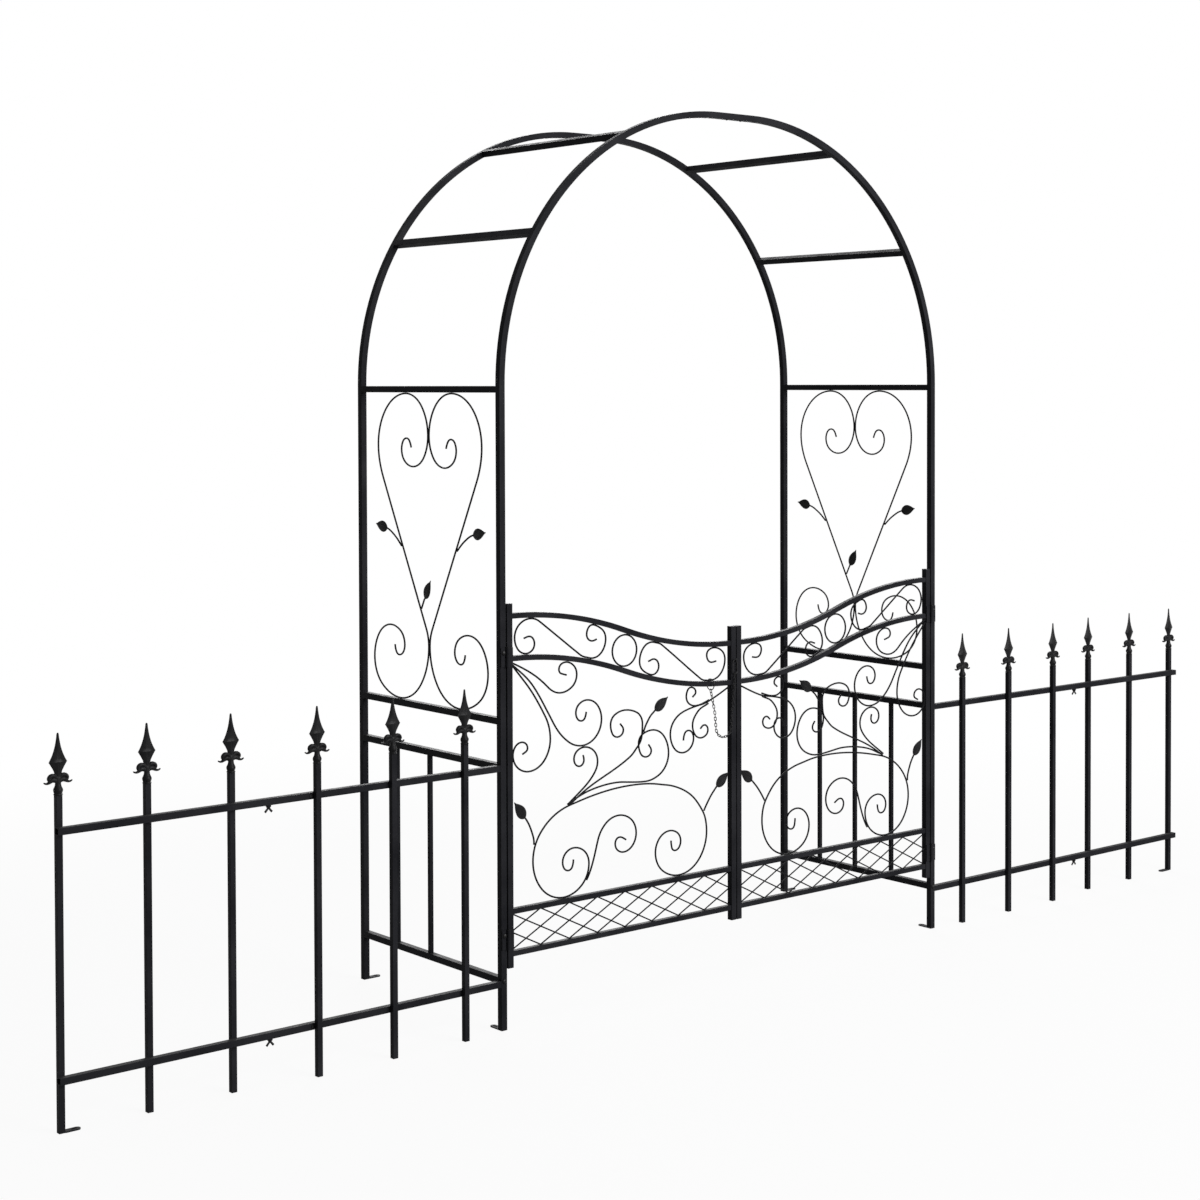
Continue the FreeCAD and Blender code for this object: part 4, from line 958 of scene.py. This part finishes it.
@dataclass
class SpearFinials:
    """Cast spear heads with two curled petals on a bell-shaped socket, one on every picket."""

    picket_top: float = 700.0
    first_picket: float = 867.0
    picket_pitch: float = 200.0
    pickets: int = 3
    row_step: float = 14.0
    crease: float = 60.0
    blade_sides: int = 12
    blade_round: float = 0.35
    flutes: tuple[Flute, ...] = (Flute(0.5, 0.34, 1.0), Flute(0.866, 0.74, 0.9), Flute(0.0, 1.0, 0.74))
    flute_reach: float = 0.05
    blade: tuple[Ring, ...] = (
        Ring(34.0, 14.8, 9.6), Ring(46.0, 17.0, 10.0), Ring(50.0, 19.2, 10.4), Ring(58.0, 27.8, 11.4),
        Ring(66.6, 38.4, 12.0), Ring(68.4, 41.4, 13.6), Ring(70.0, 39.0, 12.0), Ring(76.0, 32.2, 11.0),
        Ring(83.0, 25.4, 9.8), Ring(91.0, 19.4, 8.6), Ring(100.0, 14.0, 7.4), Ring(110.0, 9.8, 6.2),
        Ring(119.0, 6.8, 5.2), Ring(125.0, 5.6, 4.8), Ring(127.4, 4.6, 4.2), Ring(128.6, 2.4, 2.2))
    bell: tuple[Ring, ...] = (
        Ring(0.8, 20.0, 20.0), Ring(2.2, 20.0, 20.0), Ring(2.8, 17.8, 17.8), Ring(4.4, 17.8, 17.8),
        Ring(6.4, 20.0, 20.0), Ring(10.6, 21.4, 21.4), Ring(13.8, 19.4, 19.2), Ring(17.4, 15.2, 14.8),
        Ring(21.4, 12.8, 12.2), Ring(27.0, 12.6, 11.4), Ring(33.0, 14.4, 10.8), Ring(40.0, 14.8, 10.2))
    bell_sides: int = 16
    rim: float = 19.0
    crimp: float = 0.72
    crimp_low: float = 3.6
    crimp_high: float = 8.0
    crimp_reach: float = 0.5
    petal_sides: int = 8
    petal_root: float = 1.0
    lobe: tuple[PetalStep, ...] = (
        PetalStep(3.0, 34.4, 8.0, 8.8), PetalStep(6.0, 39.4, 9.4, 10.0), PetalStep(11.0, 41.8, 10.2, 10.8),
        PetalStep(16.4, 41.0, 10.2, 10.8), PetalStep(20.0, 37.4, 9.8, 10.4), PetalStep(20.8, 33.2, 8.4, 9.4),
        PetalStep(19.4, 29.8, 5.6, 7.4))
    tail: tuple[PetalStep, ...] = (
        PetalStep(1.0, 28.0, 10.0, 9.6), PetalStep(6.6, 31.8, 12.8, 11.0), PetalStep(12.2, 32.8, 13.4, 11.4),
        PetalStep(16.8, 30.0, 10.6, 10.6), PetalStep(20.6, 26.6, 7.0, 8.8), PetalStep(24.6, 25.4, 5.2, 7.0),
        PetalStep(28.6, 26.3, 4.4, 5.4), PetalStep(32.0, 28.8, 3.0, 3.8))

    def model_blade(self) -> Piece:
        """The spear's blade, with a fine groove down each face and a rib across the shoulders.

        Returns:
            The blade.
        """
        first, second = self.blade[:2]
        half = first.width / 2
        blade = round_blank(self.blade_sides, half, first.height, second.height)
        bpy.ops.mesh.select_all(action="SELECT")
        swell(1.0, first.depth / first.width)
        for flute in self.flutes:
            pick(blade, lambda co, share=flute.share: abs(abs(co.x) / half - share) < self.flute_reach)
            swell(flute.across, flute.deep)
        pick(blade, lambda co: co.z > (first.height + second.height) / 2)
        swell(second.width / first.width, second.depth / first.depth)
        draw_up(self.blade[1:])
        finish_mesh(blade)
        soften(blade, self.blade_round)
        return blade

    def model_bell(self) -> Piece:
        """The round rim and the bell that rises from it, crimped on the picket's corners.

        Returns:
            The rim with its bell.
        """
        first = self.bell[0]
        bell = round_blank(self.bell_sides, self.rim / 2, 0.0, first.height)
        pick(bell, lambda co: co.z > first.height / 2)
        swell(first.width / self.rim, first.depth / self.rim)
        draw_up(self.bell)
        pick(bell, lambda co: (self.crimp_low < co.z < self.crimp_high
                               and abs(abs(co.x) - abs(co.y)) < self.crimp_reach))
        swell(self.crimp, self.crimp)
        self.smooth(bell)
        return bell

    def smooth(self, piece: Piece) -> None:
        """Rounds off a part of the finial, with clean faces before and after.

        Args:
            piece: the part.
        """
        finish_mesh(piece, self.crease)
        subdivide(piece)
        finish_mesh(piece, self.crease)

    @staticmethod
    def bearings(runs: Sequence[Vector]) -> list[float]:
        """The turn about Y at each station of a curl: halfway between the runs that meet there.

        Args:
            runs: the runs from station to station.

        Returns:
            The turns in radians, without a jump past a full turn.
        """
        ways = [math.atan2(run.x, run.z) for run in runs]
        turns = [ways[0]]
        for before, after in zip(ways, ways[1:]):
            halfway = before + math.remainder(after - before, math.tau) / 2
            turns.append(turns[-1] + math.remainder(halfway - turns[-1], math.tau))
        turns.append(ways[-1])
        return turns

    def model_petal(self, hand: int, steps: Sequence[PetalStep]) -> Piece:
        """A roll of a curled petal, drawn out along its curl and thinned to its end.

        Args:
            hand: 1 for the petal towards +X and -1 for its fellow.
            steps: the stations along the curl.

        Returns:
            The petal.
        """
        points = [Vector((hand * step.across, 0.0, step.up)) for step in steps]
        runs = [after - before for before, after in zip(points, points[1:])]
        turns = self.bearings(runs)
        out = runs[0].normalized()
        lay_aside()
        bpy.ops.mesh.primitive_cylinder_add(vertices=self.petal_sides, radius=steps[0].width * MM / 2,
                                            depth=self.petal_root * MM,
                                            location=points[0] * MM - out * self.petal_root * MM / 2,
                                            rotation=(0.0, turns[0], 0.0))
        petal = bpy.context.object
        settle(petal)
        open_up(petal)
        bpy.ops.mesh.select_all(action="SELECT")
        swell(1.0, steps[0].depth / steps[0].width)
        pick(petal, lambda co: (co - points[0]).dot(out) > -self.petal_root / 2)
        for number in range(1, len(steps)):
            before, after = steps[number - 1], steps[number]
            centre = points[number] * MM
            pull(runs[number - 1] * MM)
            swing = math.remainder(turns[number] - turns[number - 1], math.tau)
            bpy.ops.transform.rotate(value=-swing, orient_axis="Y", center_override=centre)
            thin = after.width / before.width
            swell(thin, after.depth / before.depth, thin, centre)
        self.smooth(petal)
        return petal

    def build(self, shop: PaintShop) -> None:
        """Makes one finial and sets a copy on every picket.

        Args:
            shop: where the finish comes from.
        """
        parts = [self.model_blade(), self.model_bell()]
        parts += [self.model_petal(hand, steps) for hand in (1, -1) for steps in (self.lobe, self.tail)]
        pattern = weld_up("finial_pattern", parts)
        shop.dress(pattern, shop.finishes[Coat.CAST])
        stands = [self.first_picket + number * self.picket_pitch for number in range(2 * self.pickets)]
        row = FRONT_LINE - self.row_step
        inner = [(side.value * x, row) for side in Side for x in stands[:self.pickets]]
        self.set_out(pattern, "inner_spear_finials", "arch", "inner_finials", inner)
        row = FRONT_LINE + self.row_step
        for side in Side:
            outer = [(side.value * x, row) for x in stands[self.pickets:]]
            self.set_out(pattern, f"{side.label}_wing_spear_finials", f"{side.label}_wing",
                         f"{side.label}_wing_finials", outer)
        put_away(pattern)

    def set_out(self, pattern: Piece, name: str, body: str, node: str, places: Sequence[Span]) -> None:
        """Sets a row of finials on its pickets.

        Args:
            pattern: the finished finial.
            name: the row's name.
            body: the body that the row moves with.
            node: the node that the row stands for.
            places: where the pickets stand.
        """
        row = [copy_to(pattern, Matrix.Translation(Vector((x, y, self.picket_top)) * MM)) for x, y in places]
        hand_over(weld_up(name, row), body, Coat.CAST, node)


# Fasteners


@dataclass
class WingBolts:
    """Wing bolts that clamp the outer fence sections on their spigots."""

    from_middle: float = 1383.0
    seats: tuple[tuple[str, float], ...] = (("lower", 100.5), ("upper", 616.5))
    gap: float = 0.3
    sides: int = 24
    head_radius: float = 5.0
    head_height: float = 4.0
    head_taper: float = 0.72
    head_round: float = 0.5
    wing_length: float = 13.4
    wing_width: float = 5.4
    wing_thickness: float = 3.0
    wing_root: float = 0.8
    wing_flare: float = 1.25
    wing_taper: float = 0.8
    wing_round: float = 1.0
    round_steps: int = 3
    splay: float = 42.0
    shank_radius: float = 2.9
    shank_length: float = 5.2

    def model_wing(self, hand: int) -> Piece:
        """One wing, from the head down and out, with a rounded paddle at its end.

        Args:
            hand: 1 for the wing towards +X and -1 for its fellow.

        Returns:
            The wing.
        """
        lay_aside()
        bpy.ops.mesh.primitive_cube_add(size=1.0, location=(0.0, 0.0, -self.wing_length * MM / 2))
        wing = bpy.context.object
        wing.scale = (self.wing_width * MM * self.wing_root, self.wing_thickness * MM, self.wing_length * MM)
        settle(wing)
        open_up(wing)
        pick(wing, lambda co: co.z < -self.wing_length / 2)
        swell(self.wing_flare, self.wing_taper)
        finish_mesh(wing)
        soften(wing, self.wing_round, self.round_steps)
        wing.rotation_euler = (0.0, -hand * math.radians(self.splay), 0.0)
        settle(wing)
        return wing

    def model(self) -> Piece:
        """A wing bolt that hangs from the origin, its seat.

        Returns:
            The bolt.
        """
        middle = -self.gap - self.head_height / 2
        head = round_blank(self.sides, self.head_radius, -self.gap - self.head_height, -self.gap)
        pick(head, lambda co: co.z < middle)
        swell(self.head_taper, self.head_taper)
        pick(head, lambda co: co.z > middle)
        draw_shank(self.shank_radius / self.head_radius, self.gap + self.shank_length)
        finish_mesh(head)
        soften(head, self.head_round)
        wings = [self.model_wing(hand) for hand in (1, -1)]
        for wing in wings:
            wing.location = (0.0, 0.0, middle * MM)
            settle(wing)
        whole = weld_up("wing_bolt_pattern", [head, *wings])
        finish_mesh(whole)
        return whole

    def build(self, shop: PaintShop) -> None:
        """Sets a wing bolt under each rail of both wings.

        Args:
            shop: where the finish comes from.
        """
        pattern = self.model()
        shop.dress(pattern, shop.finishes[Coat.HARDWARE])
        for side in Side:
            for place, seat in self.seats:
                where = Vector((side.value * self.from_middle, FRONT_LINE, seat)) * MM
                name = f"{side.label}_{place}_wing_bolt"
                bolt = weld_up(f"{name}_winged", [copy_to(pattern, Matrix.Translation(where))])
                hand_over(bolt, name, Coat.HARDWARE, name)
        put_away(pattern)


@dataclass
class PostBolts:
    """Dome-headed bolts on the front posts: two at the hinges and one at the low rung on each side."""

    hinge_seat: float = FRONT_LINE - 10.5
    rung_seat: float = FRONT_LINE - 8.0
    hinge_heights: tuple[float, ...] = (228.0, 903.5)
    rung_height: float = 119.0
    sides: int = 28
    crease: float = 40.0
    head_radius: float = 5.5
    head_height: float = 4.0
    rim_share: float = 0.32
    dome_rings: int = 6
    dome_step: float = 14.0
    shank_radius: float = 2.9
    shank_length: float = 9.0

    def model(self) -> Piece:
        """A bolt with its seat at the origin and its domed head towards +Z.

        Returns:
            The bolt.
        """
        rim = self.head_height * self.rim_share
        bolt = round_blank(self.sides, self.head_radius, 0.0, rim)
        pick(bolt, lambda co: co.z > rim / 2)
        rings = []
        for step in range(self.dome_rings + 1):
            lean = math.radians(self.dome_step * step)
            wide = 2 * self.head_radius * math.cos(lean)
            rings.append(Ring(rim + (self.head_height - rim) * math.sin(lean), wide, wide))
        draw_up(rings)
        pick(bolt, lambda co: co.z < rim / 2)
        draw_shank(self.shank_radius / self.head_radius, -self.shank_length)
        finish_mesh(bolt, self.crease)
        return bolt

    def build(self, shop: PaintShop) -> None:
        """Sets the bolts into the posts.

        Args:
            shop: where the finish comes from.
        """
        pattern = self.model()
        shop.dress(pattern, shop.finishes[Coat.HARDWARE])
        spots = [(self.hinge_seat, height) for height in self.hinge_heights]
        spots.append((self.rung_seat, self.rung_height))
        bolts = []
        for side in Side:
            for seat, height in spots:
                place = Vector((side.value * POST_LINE, seat, height))
                bolts.append(copy_to(pattern, turned(Vector((1.0, 0.0, 0.0)), TO_FRONT, place)))
        hand_over(weld_up("domed_post_bolts", bolts), "arch", Coat.HARDWARE, "post_bolts")
        put_away(pattern)


# Studio


@dataclass(frozen=True)
class Lamp:
    """A soft square lamp."""

    name: str
    place: Triple
    aim: Triple
    width: float
    power: float


@dataclass
class Studio:
    """Pale floor, white surround, soft lamps and the camera."""

    floor_size: float = 60.0
    floor_drop: float = 0.0004
    floor_colour: Colour = (0.40, 0.40, 0.40)
    glow_near: float = 0.93
    fade_start: float = 1.6
    fade_end: float = 4.2
    surround: float = 0.08
    lamps: tuple[Lamp, ...] = (
        Lamp("front_lamp", (1.4, -6.6, 3.2), (0.0, 0.0, 0.8), 4.2, 830.0),
        Lamp("top_lamp", (0.5, -1.0, 5.2), (0.0, 0.0, 0.8), 4.0, 150.0),
        Lamp("rear_lamp", (3.5, 4.5, 3.4), (0.0, 0.0, 1.0), 3.5, 380.0))
    camera_place: Triple = (-3.8430, -4.51355, 1.5437)
    camera_turn: Triple = (88.647, 0.13, -40.555)
    sensor: float = 36.0
    lens: float = 65.97
    shift: Span = (-0.0551, -0.1374)

    def floor_paint(self) -> Finish:
        """Pale matt paint that glows for the rays that see it, more with the distance from the arch.

        Returns:
            The material.
        """
        board = NodeBoard(bpy.data.materials.new("pale_floor"))
        reach = board.measure("LENGTH", board.place["Object"])
        fade = board.spread(reach, self.glow_near, 1.0, self.fade_start, self.fade_end)
        fade.node.interpolation_type = "SMOOTHSTEP"
        share = board.sum_up("MULTIPLY", board.seen_rays(), fade)
        matt = board.add("BsdfDiffuse", {"Color": self.floor_colour}).outputs["BSDF"]
        glow = board.add("Emission", {"Color": WHITE}).outputs["Emission"]
        return board.finish("MixShader", {"Fac": share, 1: matt, 2: glow})

    def lay_floor(self) -> None:
        """A wide pale floor that stays near white to the camera and keeps the shadow."""
        lay_aside()
        bpy.ops.mesh.primitive_plane_add(size=self.floor_size, location=(0.0, 0.0, -self.floor_drop))
        floor = bpy.context.object
        floor.name = "floor"
        floor.data.materials.append(self.floor_paint())

    def light_surround(self) -> None:
        """A white surround: full white to the camera and in reflections, softer as light."""
        board = NodeBoard(bpy.data.worlds.new("white_surround"), "OutputWorld")
        level = board.spread(board.seen_rays(), self.surround, 1.0, 0.0, 1.0)
        bpy.context.scene.world = board.finish("Background", {"Color": WHITE, "Strength": level})

    def hang_lamps(self) -> None:
        """Hangs the soft lamps."""
        for lamp in self.lamps:
            data = bpy.data.lights.new(lamp.name, "AREA")
            data.shape = "SQUARE"
            data.size = lamp.width
            data.energy = lamp.power
            holder = bpy.data.objects.new(lamp.name, data)
            holder.location = lamp.place
            look = Vector(lamp.aim) - Vector(lamp.place)
            holder.rotation_euler = look.to_track_quat("-Z", "Y").to_euler()
            bpy.context.scene.collection.objects.link(holder)

    def set_camera(self) -> None:
        """Stands the camera in front of the left wing, as in the photograph."""
        data = bpy.data.cameras.new("camera")
        data.sensor_width = self.sensor
        data.lens = self.lens
        data.shift_x, data.shift_y = self.shift
        camera = bpy.data.objects.new("camera", data)
        camera.location = self.camera_place
        camera.rotation_mode = "XYZ"
        camera.rotation_euler = [math.radians(turn) for turn in self.camera_turn]
        bpy.context.scene.collection.objects.link(camera)
        bpy.context.scene.camera = camera

    def build(self) -> None:
        """Sets the whole studio up."""
        self.lay_floor()
        self.light_surround()
        self.hang_lamps()
        self.set_camera()
        bpy.context.scene.view_settings.view_transform = "Standard"
        LOG.info("studio set up")


def main() -> None:
    """Dresses the arch and sets the studio up."""
    logging.basicConfig(level=logging.INFO, format="%(name)s: %(message)s")
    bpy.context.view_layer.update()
    shop = PaintShop()
    shop.mix()
    shop.dress_nodes()
    ForgedLeaves().build(shop)
    SpearFinials().build(shop)
    WingBolts().build(shop)
    PostBolts().build(shop)
    Studio().build()
    lay_aside()


if __name__ == "__main__":
    main()
